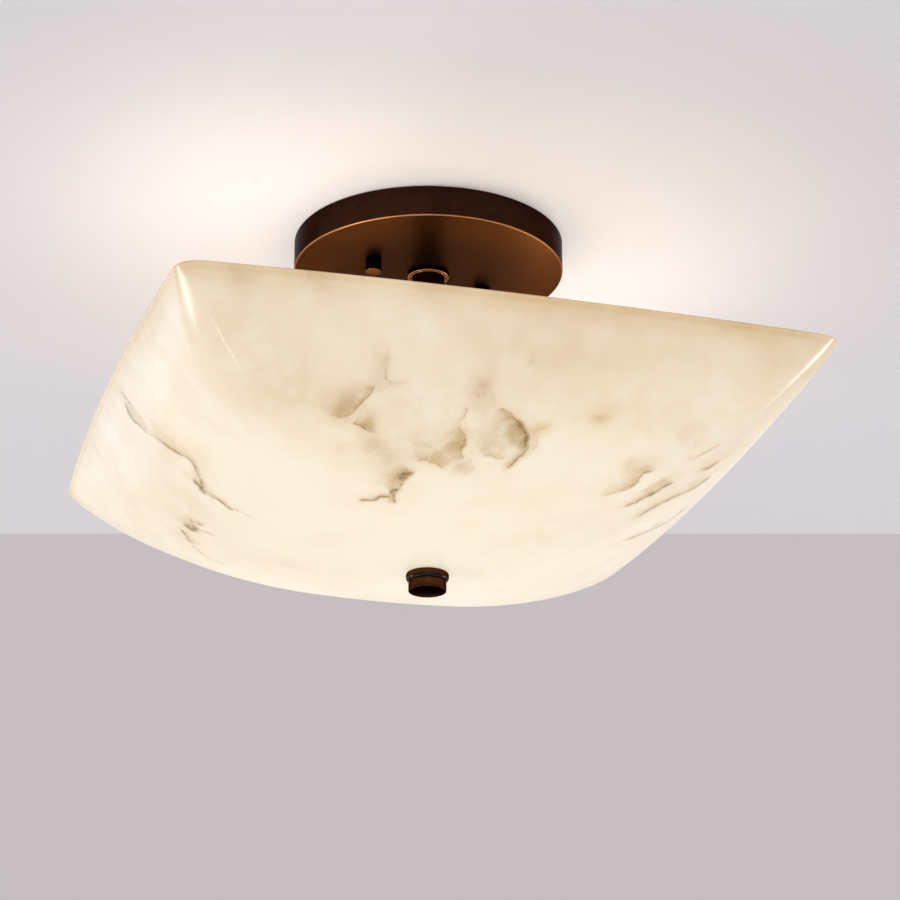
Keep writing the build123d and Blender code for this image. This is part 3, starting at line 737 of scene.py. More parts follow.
# ---- Modelling steps ----
class Bench:
    """The modelling steps that the pieces share."""

    WELD = 0.002 * MM
    SAME = 0.02 * MM
    HOLE_SIDES = 32

    @staticmethod
    def name(piece: bpy.types.Object, name: str) -> bpy.types.Object:
        """Name a piece and its mesh."""
        piece.name = piece.data.name = name
        return piece

    @staticmethod
    def clear() -> None:
        """Deselect everything."""
        bpy.ops.object.select_all(action="DESELECT")

    @staticmethod
    def pick(piece: bpy.types.Object) -> None:
        """Select one piece alone and make it the active one.

        Args:
            piece: The piece.
        """
        Bench.clear()
        piece.select_set(True)
        bpy.context.view_layer.objects.active = piece

    @staticmethod
    def open(piece: bpy.types.Object) -> bmesh.types.BMesh:
        """Go into edit mode on one piece, with nothing selected.

        Args:
            piece: The piece.

        Returns:
            The mesh as it is edited.
        """
        Bench.pick(piece)
        bpy.ops.object.mode_set(mode="EDIT")
        bpy.ops.mesh.select_all(action="DESELECT")
        return bmesh.from_edit_mesh(piece.data)

    @staticmethod
    def close() -> None:
        """Leave edit mode."""
        bpy.ops.object.mode_set(mode="OBJECT")

    @staticmethod
    def outward() -> None:
        """Join what lies in one place and turn every face outwards, in edit mode."""
        bpy.ops.mesh.select_all(action="SELECT")
        bpy.ops.mesh.remove_doubles(threshold=Bench.WELD)
        bpy.ops.mesh.normals_make_consistent(inside=False)
        bpy.ops.mesh.select_all(action="DESELECT")

    @staticmethod
    def settle(piece: bpy.types.Object, sharp: float = 32.0) -> bpy.types.Object:
        """Apply a piece's place to its mesh and smooth its faces.

        Args:
            piece: The piece.
            sharp: The angle in degrees past which an edge stays sharp.

        Returns:
            The piece.
        """
        Bench.pick(piece)
        bpy.ops.object.transform_apply(location=True, rotation=True, scale=True)
        bpy.ops.object.shade_smooth_by_angle(angle=math.radians(sharp))
        return piece

    @staticmethod
    def spun(name: str, outline: Sequence[Point], rounds: Sequence[tuple[Point, float, int]],
             steps: int = 128, solid_core: bool = False) -> bpy.types.Object:
        """Turn an outline about the upright centre line.

        Args:
            name: The piece's name.
            outline: Its corners as (radius, z).
            rounds: Corners to round: where, how wide, and in how many steps.
            steps: How many steps make the full turn.
            solid_core: Whether the outline starts and ends on the centre line.

        Returns:
            The piece.
        """
        Bench.clear()
        bpy.ops.mesh.primitive_circle_add(vertices=len(outline), radius=outline[0][0] + MM)
        piece = Bench.name(bpy.context.object, name)
        mesh = Bench.open(piece)
        mesh.verts.ensure_lookup_table()
        for vertex, (radius, z) in zip(mesh.verts, outline):
            vertex.co = (radius, 0.0, z)
        if solid_core:
            ends = {mesh.verts[0], mesh.verts[len(outline) - 1]}
            mesh.edges.remove(next(edge for edge in mesh.edges if set(edge.verts) == ends))
        bmesh.update_edit_mesh(piece.data)
        bpy.ops.mesh.select_all(action="SELECT")
        bpy.ops.mesh.spin(steps=steps, angle=2 * math.pi, center=(0, 0, 0), axis=(0, 0, 1))
        Bench.outward()
        for corner, width, segments in rounds:
            Bench.round_ring(piece, corner, width, segments)
        Bench.close()
        return piece

    @staticmethod
    def round_ring(piece: bpy.types.Object, corner: Point, width: float, segments: int) -> None:
        """Round the ring of edges at one corner of a turned shape, in edit mode.

        Args:
            piece: The piece.
            corner: The ring's (radius, z).
            width: How far the round reaches.
            segments: How many steps it has.
        """
        bpy.ops.mesh.select_all(action="DESELECT")
        mesh = bmesh.from_edit_mesh(piece.data)
        radius, z = corner
        for edge in mesh.edges:
            if all(abs(math.hypot(v.co.x, v.co.y) - radius) < Bench.SAME
                   and abs(v.co.z - z) < Bench.SAME for v in edge.verts):
                edge.select_set(True)
        mesh.select_flush_mode()
        bmesh.update_edit_mesh(piece.data)
        bpy.ops.mesh.bevel(offset=width, segments=segments, profile=0.5, affect="EDGES")
        bpy.ops.mesh.select_all(action="DESELECT")

    @staticmethod
    def drill(piece: bpy.types.Object, places: Iterable[Point], radius: float, top: float,
              foot: float) -> None:
        """Drill upright round holes through a piece.

        Args:
            piece: The piece.
            places: Where the holes are, as (x, y).
            radius: Their radius.
            top: The level above the holes.
            foot: The level below them.
        """
        for x, y in places:
            Bench.clear()
            middle = (x, y, (top + foot) / 2)
            bpy.ops.mesh.primitive_cylinder_add(vertices=Bench.HOLE_SIDES, radius=radius,
                                                depth=top - foot, location=middle)
            bit = bpy.context.object
            cut = piece.modifiers.new("hole", "BOOLEAN")
            cut.operation = "DIFFERENCE"
            cut.solver = "EXACT"
            cut.object = bit
            bpy.context.view_layer.objects.active = piece
            bpy.ops.object.modifier_apply(modifier=cut.name)
            bpy.data.objects.remove(bit)

    @staticmethod
    def copy(piece: bpy.types.Object, name: str, move: Matrix) -> bpy.types.Object:
        """Copy a piece with its own mesh and lay the copy elsewhere.

        Args:
            piece: The piece to copy.
            name: The copy's name.
            move: How the copy lies to the original.

        Returns:
            The copy, with its place in its mesh.
        """
        twin = piece.copy()
        twin.data = piece.data.copy()
        bpy.context.scene.collection.objects.link(twin)
        twin.data.transform(move)
        return Bench.name(twin, name)


def dress(piece: bpy.types.Object, finish: Finish, slot: str, body: str, *nodes: str) -> None:
    """Give a finished piece its material and its body, and hide the CAD nodes that it stands for.

    Args:
        piece: The piece.
        finish: What it is finished with.
        slot: Not used.
        body: The body that it moves with.
        nodes: The CAD nodes that it stands for.
    """
    piece.data.materials.clear()
    piece.data.materials.append(finish.material())
    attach(piece, body)
    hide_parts(*nodes)
    log.info("%s: %d faces on %s", piece.name, len(piece.data.polygons), body)


def dress_carried() -> None:
    """Give every CAD node that is kept its finish."""
    for slot, finish, nodes in CARRIED:
        for node in nodes:
            piece = frame["nodes"][node]
            if not piece.material_slots:
                piece.data.materials.append(None)
            for place in piece.material_slots:
                place.material = finish.material()
    log.info("carried over: %d nodes", sum(len(nodes) for _, _, nodes in CARRIED))


# ---- The photograph's viewpoint ----
@dataclass(frozen=True)
class Viewpoint:
    """The camera, where the photograph was taken from."""

    azimuth: float = -16.0
    upward: float = 21.34
    distance: float = 1.5904
    focal: float = 2911.8          # in pixels of a 900 pixel frame
    frame: float = 900.0
    origin_x: float = 428.4        # where the canopy's centre at the ceiling stands in that frame
    origin_y: float = 245.6
    sensor: float = 36.0           # in mm, as Blender's lens lengths are
    reach: float = 50.0

    def axes(self) -> tuple[Vector, Vector, Vector]:
        """The camera's right, up and forward directions.

        Returns:
            Three directions in the frame of the model.
        """
        upward = math.radians(self.upward)
        spin = Matrix.Rotation(math.radians(self.azimuth), 3, "Z")
        forward = Vector((0, math.cos(upward), math.sin(upward)))
        right = Vector((1, 0, 0))
        return spin @ right, spin @ right.cross(forward), spin @ forward

    def eye(self) -> Vector:
        """Where the camera stands.

        Returns:
            The place in the frame of the model.
        """
        right, up, forward = self.axes()
        across = (self.origin_x - self.frame / 2) / self.focal * self.distance
        above = (self.frame / 2 - self.origin_y) / self.focal * self.distance
        return -(right * across + up * above + forward * self.distance)

    def ray(self, pixel: Point) -> Vector:
        """The direction from the camera through a pixel of the photograph.

        Args:
            pixel: The pixel, from the upper left corner.

        Returns:
            The direction in the frame of the model.
        """
        right, up, forward = self.axes()
        across = (pixel[0] - self.frame / 2) / self.focal
        above = (self.frame / 2 - pixel[1]) / self.focal
        return (right * across + up * above + forward).normalized()

    def build(self) -> None:
        """Make the scene's camera."""
        data = bpy.data.cameras.new("camera")
        data.sensor_width = self.sensor
        data.lens = self.focal / self.frame * self.sensor
        data.clip_end = self.reach
        camera = bpy.data.objects.new("camera", data)
        bpy.context.scene.collection.objects.link(camera)
        right, up, forward = self.axes()
        turn = Matrix((right, up, -forward)).transposed().to_4x4()
        camera.matrix_world = Matrix.Translation(self.eye()) @ turn
        bpy.context.scene.camera = camera


# ---- Canopy, collar and finial ----
@dataclass(frozen=True)
class Canopy:
    """Round pan against the ceiling, with its two cap nuts."""

    radius: float = 73.0 * MM
    height: float = 17.0 * MM
    sheet: float = 1.0 * MM
    edge_round: float = 0.8 * MM
    inner_round: float = 0.6 * MM
    hem_round: float = 0.25 * MM
    pipe_hole: float = 4.865 * MM
    stud_hole: float = 2.485 * MM
    stud_reach: float = 34.925 * MM
    stud_turn: float = 17.0
    nut_radius: float = 4.3 * MM
    nut_height: float = 7.8 * MM
    nut_bore: float = 2.135 * MM
    nut_depth: float = 6.0 * MM
    nut_foot_round: float = 0.4 * MM
    nut_top_round: float = 0.15 * MM

    def studs(self) -> list[Point]:
        """Where the two studs stand.

        Returns:
            Their (x, y), the left one first.
        """
        angle = math.radians(self.stud_turn)
        x, y = self.stud_reach * math.cos(angle), self.stud_reach * math.sin(angle)
        return [(-x, -y), (x, y)]

    def build_pan(self) -> bpy.types.Object:
        """Spin the pan and drill its stud holes.

        Returns:
            The pan.
        """
        face, inner = -self.height, -self.height + self.sheet
        wall = self.radius - self.sheet
        outline = [(self.radius, 0.0), (self.radius, face), (self.pipe_hole, face),
                   (self.pipe_hole, inner), (wall, inner), (wall, 0.0)]
        rounds = [((self.radius, face), self.edge_round, 6), ((wall, inner), self.inner_round, 4),
                  ((self.radius, 0.0), self.hem_round, 3), ((wall, 0.0), self.hem_round, 3)]
        pan = Bench.spun("canopy_pan", outline, rounds, steps=192)
        Bench.drill(pan, self.studs(), self.stud_hole, inner + MM, face - MM)
        return Bench.settle(pan)

    def build_nut(self) -> bpy.types.Object:
        """Spin one cap nut on the centre line.

        Returns:
            The nut.
        """
        face = -self.height
        foot, roof = face - self.nut_height, face - self.nut_depth
        outline = [(0.0, roof), (self.nut_bore, roof), (self.nut_bore, face),
                   (self.nut_radius, face), (self.nut_radius, foot), (0.0, foot)]
        rounds = [((self.nut_radius, foot), self.nut_foot_round, 3),
                  ((self.nut_radius, face), self.nut_top_round, 2),
                  ((self.nut_bore, face), self.hem_round, 2)]
        return Bench.settle(Bench.spun("cap_nut_blank", outline, rounds, 64, solid_core=True))

    def build(self) -> None:
        """Make the pan and both nuts."""
        dress(self.build_pan(), BRONZE, "bronze", "fixture", "canopy")
        blank = self.build_nut()
        for number, (side, (x, y)) in enumerate(zip(("left", "right"), self.studs()), 1):
            nut = Bench.copy(blank, f"cap_nut_{side}", Matrix.Translation((x, y, 0)))
            dress(nut, BLACKENED, "bronze", f"cap_nut_{side}", f"cap_nut_{number}")
        bpy.data.objects.remove(blank)


@dataclass(frozen=True)
class Collar:
    """Turned ring under the canopy, where the stem starts."""

    top: float = -17.0 * MM
    foot: float = -19.6 * MM
    radius: float = 11.2 * MM
    bore: float = 4.865 * MM
    seat: float = 8.75 * MM
    seat_depth: float = 1.4 * MM
    lip: float = 1.1 * MM
    groove: float = 0.5 * MM
    groove_depth: float = 0.7 * MM
    lip_round: float = 0.35 * MM
    groove_round: float = 0.2 * MM
    seat_round: float = 0.25 * MM
    top_round: float = 0.15 * MM

    def build(self) -> None:
        """Spin the collar with its lip, groove and seat."""
        outer, foot = self.radius - self.lip, self.foot
        inner = outer - self.groove
        bottom, seat_z = foot + self.groove_depth, foot + self.seat_depth
        outline = [(self.bore, self.top), (self.radius, self.top), (self.radius, foot),
                   (outer, foot), (outer, bottom), (inner, bottom), (inner, foot),
                   (self.seat, foot), (self.seat, seat_z), (self.bore, seat_z)]
        rounds = [((self.radius, foot), self.lip_round, 4), ((outer, foot), self.groove_round, 3),
                  ((inner, foot), self.seat_round, 3), ((self.seat, foot), self.seat_round, 3),
                  ((self.radius, self.top), self.top_round, 2)]
        collar = Bench.settle(Bench.spun("collar_ring", outline, rounds))
        dress(collar, COPPERED, "bronze", "fixture", "collar")


@dataclass(frozen=True)
class Finial:
    """Rounded disc and plain knob under the glass."""

    base_top: float = -189.1 * MM
    base_foot: float = -194.0 * MM
    base_radius: float = 11.35 * MM
    shoulder: float = 1.5 * MM
    foot_round: float = 2.6 * MM
    gasket_radius: float = 8.5 * MM
    gasket_foot: float = -189.9 * MM
    pipe_hole: float = 5.165 * MM
    boss_hole: float = 7.3 * MM
    hole_round: float = 0.2 * MM
    boss_top: float = -191.4 * MM
    boss_radius: float = 7.0 * MM
    boss_round: float = 0.3 * MM
    knob_foot: float = -199.2 * MM
    knob_radius: float = 10.0 * MM
    knob_foot_round: float = 0.5 * MM
    knob_top_round: float = 0.25 * MM
    bore: float = 4.915 * MM
    bore_end: float = -197.4 * MM

    def build(self) -> None:
        """Spin the disc with its recess and boss hole, and the knob with its boss and bore."""
        top, foot, boss = self.base_top, self.base_foot, self.boss_top
        outline = [(self.gasket_radius, top), (self.base_radius, top), (self.base_radius, foot),
                   (self.boss_hole, foot), (self.boss_hole, boss), (self.pipe_hole, boss),
                   (self.pipe_hole, self.gasket_foot), (self.gasket_radius, self.gasket_foot)]
        rounds = [((self.base_radius, top), self.shoulder, 10),
                  ((self.base_radius, foot), self.foot_round, 14),
                  ((self.boss_hole, foot), self.hole_round, 2)]
        base = Bench.settle(Bench.spun("finial_disc", outline, rounds))
        dress(base, COPPERED_DARK, "bronze", "lower_seat", "finial_base")

        outline = [(0.0, self.bore_end), (self.bore, self.bore_end), (self.bore, boss),
                   (self.boss_radius, boss), (self.boss_radius, foot), (self.knob_radius, foot),
                   (self.knob_radius, self.knob_foot), (0.0, self.knob_foot)]
        rounds = [((self.knob_radius, self.knob_foot), self.knob_foot_round, 4),
                  ((self.knob_radius, foot), self.knob_top_round, 3),
                  ((self.boss_radius, boss), self.boss_round, 2)]
        knob = Bench.settle(Bench.spun("finial_knob_turned", outline, rounds, solid_core=True))
        dress(knob, COPPERED_DARK, "bronze", "finial", "finial_knob")


# ---- Glass shade ----
@dataclass(frozen=True)
class Shade:
    """Square pillow shade of marbled glass, open above."""

    width: float = 347.5 * MM
    depth: float = 84.5 * MM
    wall: float = 4.6 * MM
    corner_radius: float = 13.3 * MM
    side_bow: float = 6.1 * MM
    land_radius: float = 14.0 * MM
    land_rings: tuple[float, ...] = (0.35, 0.7, 1.0)
    land_reach: float = 0.93
    hole_radius: float = 5.515 * MM
    hole_bevel: float = 0.3 * MM
    rim_z: float = -104.4 * MM
    soft_share: float = 0.438
    steep_share: float = 0.514
    corner_sharpening: float = 1.84
    middle_bow: float = 0.26
    middle_bow_fade: float = 1.45
    greatest_bow: float = 0.28
    rim_round: float = 1.1 * MM
    rim_gap: float = 0.3 * MM
    lip_reach: float = 2.5
    outer_round_steps: int = 7
    inner_round_steps: int = 5
    crease_height: float = 0.9 * MM
    crease_width: float = 10.0 * MM
    crease_round: float = 2.0 * MM
    crease_start: float = 8.0 * MM
    crease_full: float = 25.0 * MM
    crease_end: float = 62.0 * MM
    spokes: int = 440
    crowding: float = 1.35
    outside_rings: int = 84
    inside_rings: int = 40

    def half(self) -> float:
        """Half the width at the rim."""
        return self.width / 2

    def rise(self, level: float) -> float:
        """Share of the depth that the bowl rises by at a level from 0, the middle, to 1, the rim."""
        rest = 1 - self.soft_share - self.steep_share
        return self.soft_share * level**2 + self.steep_share * level**4 + rest * level**8

    def height(self, level: float) -> float:
        """Height of the outside at a level."""
        land = self.rise(self.land_radius / self.half())
        return self.rim_z - self.depth + self.depth * (self.rise(level) - land) / (1 - land)

    def slope(self, level: float) -> float:
        """Steepness of the outside at a level; the land in the middle is flat.

        Args:
            level: The level.

        Returns:
            The angle in radians.
        """
        if level <= self.land_radius / self.half():
            return 0.0
        rest = 1 - self.soft_share - self.steep_share
        rise = 2 * self.soft_share * level + 4 * self.steep_share * level**3 + 8 * rest * level**7
        return math.atan(rise * self.depth / self.half())

    def angles(self) -> np.ndarray:
        """Directions of the spokes, closest together towards the corners.

        Returns:
            One angle for each spoke, in radians.
        """
        eighth = self.spokes // 8
        rising = (1 - (1 - np.arange(eighth) / eighth) ** self.crowding) * math.pi / 4
        quarter = np.concatenate([rising, [math.pi / 4], math.pi / 2 - rising[:0:-1]])
        return np.concatenate([quarter + side * math.pi / 2 for side in range(4)])

    def round_at(self, distance: np.ndarray | float, height: float) -> np.ndarray:
        """Points of a closed ring at one height.

        Args:
            distance: How far each of them, or all of them, lie from the centre line.
            height: Their height.

        Returns:
            The points, one on each spoke.
        """
        angles = self.angles()
        level = np.full(len(angles), height)
        return np.column_stack([distance * np.cos(angles), distance * np.sin(angles), level])

    def ring(self, level: float, inset: float, height: float) -> np.ndarray:
        """Points of one closed section of the bowl: four bowed sides and four round corners.

        Args:
            level: The section's level.
            inset: How far it lies inside the outer surface, measured level.
            height: Its height.

        Returns:
            The points, one on each spoke.
        """
        reach = level * self.half()
        bow_share = self.side_bow / self.half() + self.middle_bow * (1 - level) ** self.middle_bow_fade
        bow = min(bow_share, self.greatest_bow) * reach
        round_share = 1 - (1 - self.corner_radius / self.half()) * level**self.corner_sharpening
        corner = round_share * (reach - bow) - inset
        width = reach - inset
        corner_at = width - bow
        side_radius = (corner_at**2 + bow**2) / (2 * bow)
        offset = side_radius - width
        spread = side_radius - corner
        centre = (math.sqrt(2 * spread**2 - offset**2) - offset) / 2
        stretch = side_radius / spread
        joint = math.atan2(centre * stretch, (centre + offset) * stretch - offset)
        folded = np.abs((self.angles() + math.pi / 4) % (math.pi / 2) - math.pi / 4)
        along, across = np.cos(folded), np.sin(folded)
        on_side = -offset * along + np.sqrt(side_radius**2 - (offset * across) ** 2)
        middle = centre * (along + across)
        on_corner = middle + np.sqrt(np.maximum(corner**2 - 2 * centre**2 + middle**2, 0))
        return self.round_at(np.where(folded < joint, on_side, on_corner), height)

    def creased(self, level: float) -> np.ndarray:
        """Points of the outer surface, with a fine ridge on its corners that fades further down.

        Args:
            level: The section's level.

        Returns:
            The points, one on each spoke.
        """
        ring = self.ring(level, 0.0, self.height(level))
        beside = (np.abs(ring[:, 0]) - np.abs(ring[:, 1])) * math.sqrt(0.5)
        side = np.clip(1 - np.hypot(beside, self.crease_round) / self.crease_width, 0, 1)
        below = self.rim_z - self.height(level)
        fade = np.clip([below / self.crease_start, (self.crease_end - below)
                        / (self.crease_end - self.crease_full)], 0, 1)
        lift = self.crease_height * side**2 * np.prod(fade * fade * (3 - 2 * fade))
        slope = self.slope(level)
        outward = ring[:, :2] / np.linalg.norm(ring[:, :2], axis=1)[:, None]
        ring[:, :2] += outward * (lift * math.sin(slope))[:, None]
        ring[:, 2] -= lift * math.cos(slope)
        return ring

    def inner_ring(self, level: float) -> np.ndarray:
        """Points of the inner surface, one wall thickness inside the outer one."""
        inset, lift = self.wall * math.sin(self.slope(level)), self.wall * math.cos(self.slope(level))
        return self.ring(level, inset, self.height(level) + lift)

    def inner_rim_level(self) -> float:
        """Find the level at which the inner surface reaches the plane of the rim.

        Returns:
            The level.
        """
        low, high = 0.5, 1.0
        for _ in range(50):
            middle = (low + high) / 2
            above = self.height(middle) + self.wall * math.cos(self.slope(middle)) > self.rim_z
            low, high = (low, middle) if above else (middle, high)
        return low

    @staticmethod
    def arc(before: np.ndarray, corner: np.ndarray, after: np.ndarray, steps: int) -> list[np.ndarray]:
        """Rings that round a corner between two rings, ends left out."""
        shares = [step / steps for step in range(1, steps)]
        return [(1 - s) ** 2 * before + 2 * s * (1 - s) * corner + s**2 * after for s in shares]

    def rings(self) -> list[np.ndarray]:
        """All rings of the glass: under the hole, out over the outside, round the rim, back inside.

        Returns:
            The rings in order.
        """
        bottom, inside = self.rim_z - self.depth, self.rim_z - self.depth + self.wall
        hole, land = self.hole_radius, self.land_radius / self.half()
        flat = self.land_radius * self.land_reach - hole
        outside = [self.creased(level)
                   for level in land + (1 - land) * np.linspace(0, 1, self.outside_rings)]
        crest = outside.pop()
        rim_level, rim_step = self.inner_rim_level(), self.rim_round / self.half()
        rim_inner = self.inner_ring(rim_level)
        rim_inner[:, 2] = self.rim_z
        across = rim_inner - crest
        across /= np.linalg.norm(across, axis=1)[:, None]
        below = crest - outside[-1]
        below /= np.linalg.norm(below, axis=1)[:, None]
        start = crest - below * self.rim_round
        flat_start = crest + across * self.rim_round
        flat_end = rim_inner - across * self.rim_round
        lip = self.inner_ring(rim_level - rim_step)
        below_lip = rim_level - self.lip_reach * rim_step
        return [
            self.round_at(hole, bottom + self.hole_bevel), self.round_at(hole + self.hole_bevel, bottom),
            *[self.round_at(hole + share * flat, bottom) for share in self.land_rings],
            *[ring for ring in outside if ring[0, 2] < start[0, 2] - self.rim_gap],
            start, *self.arc(start, crest, flat_start, self.outer_round_steps), flat_start,
            flat_end, *self.arc(flat_end, rim_inner, lip, self.inner_round_steps), lip,
            *[self.inner_ring(level) for level in np.linspace(below_lip, land, self.inside_rings)],
            self.round_at(hole + self.hole_bevel, inside), self.round_at(hole, inside - self.hole_bevel),
        ]

    def build_bowl(self) -> bpy.types.Object:
        """Extrude the bowl ring by ring from the edge of its hole.

        Returns:
            The bowl.
        """
        rings = self.rings()
        Bench.clear()
        bpy.ops.mesh.primitive_circle_add(vertices=self.spokes, radius=self.hole_radius)
        bowl = Bench.name(bpy.context.object, "glass_bowl")
        mesh = Bench.open(bowl)
        spoke = mesh.verts.layers.int.new("spoke")
        ordered = sorted(mesh.verts, key=lambda v: math.atan2(v.co.y, v.co.x) % (2 * math.pi))
        for number, vertex in enumerate(ordered):
            vertex[spoke] = number
            vertex.co = rings[0][number]
        bpy.ops.mesh.select_all(action="SELECT")
        for ring in rings[1:] + rings[:1]:
            bpy.ops.mesh.extrude_edges_move()
            mesh = bmesh.from_edit_mesh(bowl.data)
            spoke = mesh.verts.layers.int["spoke"]
            for vertex in mesh.verts:
                if vertex.select:
                    vertex.co = ring[vertex[spoke]]
        bmesh.update_edit_mesh(bowl.data)
        Bench.outward()
        Bench.close()
        bowl.data.attributes.remove(bowl.data.attributes["spoke"])
        return Bench.settle(bowl, sharp=60.0)

    def build(self, view: Viewpoint) -> None:
        """Make the bowl, draw its veins and dress it.

        Args:
            view: The viewpoint that the visible veins were read from.
        """
        bowl = self.build_bowl()
        Marbling(bowl, view).draw()
        glass = MarbledGlass("marbled_glass", Marbling.LAYERS, self.rim_z - self.depth, self.rim_z)
        dress(bowl, glass, "marbled_glass", "shade_bowl", "shade")


class Vein(Enum):
    """Kinds of vein."""

    THREAD = (0.60, 0.0, 0.25, 0.50, 4.0)
    EDGE = (0.75, 0.0, 0.90, 0.70, 9.5)
    CRACK = (0.95, 0.25, 0.60, 1.0, 5.5)
    ARC = (0.95, 0.35, 1.0, 1.10, 11.0)
    HEART = (0.95, 1.0, 1.0, 1.60, 7.5)
    SHADE = (0.0, 0.0, 0.48, 3.4, 6.5)

    def __init__(self, line: float, heart: float, shadow: float, width: float, reach: float) -> None:
        """Name the values of a kind.

        Args:
            line: How strong its line is.
            heart: How strong the dark heart of the line is.
            shadow: How strong the soft shadow beside it is.
            width: Half the line's width, in mm.
            reach: How far the shadow reaches, in mm.
        """
        self.line = line
        self.heart = heart
        self.shadow = shadow
        self.half_width = width * MM
        self.reach = reach * MM


@dataclass(frozen=True)
class Stroke:
    """One vein of the glass: its kind and its points in pixels of the photograph."""

    kind: Vein
    points: tuple[Point, ...]


@dataclass(frozen=True)
class Stain:
    """A soft patch of the glass: its middle and half width in pixels, and how brown and gold it is."""

    centre: Point
    radius: float
    brown: float = 0.0
    gold: float = 0.0


# The veins that the photograph shows. A vein's shadow lies to the right of its direction.
STROKES = (
    Stroke(Vein.CRACK, ((120, 386), (123, 393), (127, 399), (131, 405), (134, 411))),
    Stroke(Vein.ARC, ((150, 434), (143, 428), (137, 423), (131, 418), (128, 410), (125, 402))),
    Stroke(Vein.CRACK, ((207, 494), (204, 489), (201, 482), (198, 475), (195, 467), (190, 459),
           (183, 455), (175, 451), (167, 446), (160, 441), (153, 436), (147, 432))),
    Stroke(Vein.HEART, ((206, 495), (202, 489), (198, 484), (192, 480))),
    Stroke(Vein.CRACK, ((234, 509), (229, 508), (224, 504), (217, 499), (211, 496), (206, 494))),
    Stroke(Vein.THREAD, ((256, 519), (247, 516), (239, 511), (232, 507))),
    Stroke(Vein.SHADE, ((151, 421), (158, 430), (166, 438), (178, 446))),
    Stroke(Vein.HEART, ((198, 527), (192, 529), (187, 526), (183, 524))),
    Stroke(Vein.CRACK, ((203, 524), (197, 524), (192, 521), (188, 520))),
    Stroke(Vein.THREAD, ((217, 537), (210, 534), (203, 531), (197, 528))),
    Stroke(Vein.CRACK, ((190, 543), (187, 538), (184, 533), (182, 529))),
    Stroke(Vein.THREAD, ((228, 567), (219, 563), (210, 559), (201, 553), (194, 547), (188, 541))),
    Stroke(Vein.THREAD, ((386, 347), (388, 354), (387, 362), (386, 371), (385, 379), (389, 382),
           (396, 383), (403, 382), (408, 378))),
    Stroke(Vein.SHADE, ((383, 352), (382, 366), (377, 380), (370, 391))),
    Stroke(Vein.EDGE, ((377, 382), (372, 391), (368, 397), (361, 404), (353, 411), (346, 414),
           (338, 415), (329, 412))),
    Stroke(Vein.EDGE, ((378, 431), (371, 431), (364, 427), (358, 424), (351, 422))),
    Stroke(Vein.SHADE, ((370, 434), (375, 443), (383, 452), (392, 460), (401, 466))),
    Stroke(Vein.HEART, ((410, 471), (406, 473), (403, 476), (401, 481))),
    Stroke(Vein.EDGE, ((416, 470), (411, 473), (406, 477), (402, 483), (399, 489), (395, 494))),
    Stroke(Vein.HEART, ((397, 489), (393, 491), (389, 492))),
    Stroke(Vein.CRACK, ((396, 492), (393, 495), (393, 499), (393, 504))),
    Stroke(Vein.CRACK, ((393, 494), (386, 496), (379, 497), (373, 500), (366, 500), (358, 502))),
    Stroke(Vein.EDGE, ((443, 469), (438, 465), (431, 462), (423, 459), (414, 461))),
    Stroke(Vein.THREAD, ((469, 402), (467, 411), (463, 418), (456, 423), (455, 427))),
    Stroke(Vein.EDGE, ((456, 425), (459, 431), (463, 437), (464, 444), (460, 448), (462, 454),
           (464, 461))),
    Stroke(Vein.SHADE, ((459, 436), (457, 443), (452, 448))),
    Stroke(Vein.SHADE, ((452, 466), (459, 467), (466, 468), (474, 472))),
    Stroke(Vein.SHADE, ((487, 377), (482, 386), (481, 396), (486, 404), (494, 410))),
    Stroke(Vein.EDGE, ((496, 412), (503, 411), (509, 414), (514, 418), (519, 423), (524, 429),
           (527, 436))),
    Stroke(Vein.ARC, ((514, 418), (520, 424), (525, 431), (527, 439), (524, 446), (519, 452))),
    Stroke(Vein.CRACK, ((527, 438), (526, 447), (521, 455), (514, 462), (507, 470))),
    Stroke(Vein.THREAD, ((532, 429), (537, 437), (536, 444), (530, 452))),
    Stroke(Vein.THREAD, ((550, 424), (543, 429), (536, 431), (529, 432))),
    Stroke(Vein.EDGE, ((504, 458), (497, 457), (490, 455), (481, 457))),
    Stroke(Vein.EDGE, ((656, 471), (648, 471), (642, 474), (638, 480), (633, 485), (625, 490),
           (615, 493), (600, 495))),
    Stroke(Vein.THREAD, ((722, 444), (712, 449), (705, 453), (697, 457), (688, 461))),
    Stroke(Vein.CRACK, ((722, 460), (715, 464), (708, 468), (699, 471))),
    Stroke(Vein.ARC, ((710, 476), (704, 481), (697, 486), (689, 491))),
    Stroke(Vein.CRACK, ((697, 486), (688, 491), (675, 497), (662, 503), (649, 510), (635, 518))),
    Stroke(Vein.ARC, ((673, 481), (664, 486), (655, 492), (646, 497))),
    Stroke(Vein.CRACK, ((655, 492), (645, 497), (634, 503), (622, 507))),
    Stroke(Vein.CRACK, ((687, 506), (675, 517), (664, 524), (655, 528), (645, 533), (634, 537),
           (622, 542))),
    Stroke(Vein.THREAD, ((663, 519), (657, 524), (652, 528), (645, 532))),
)
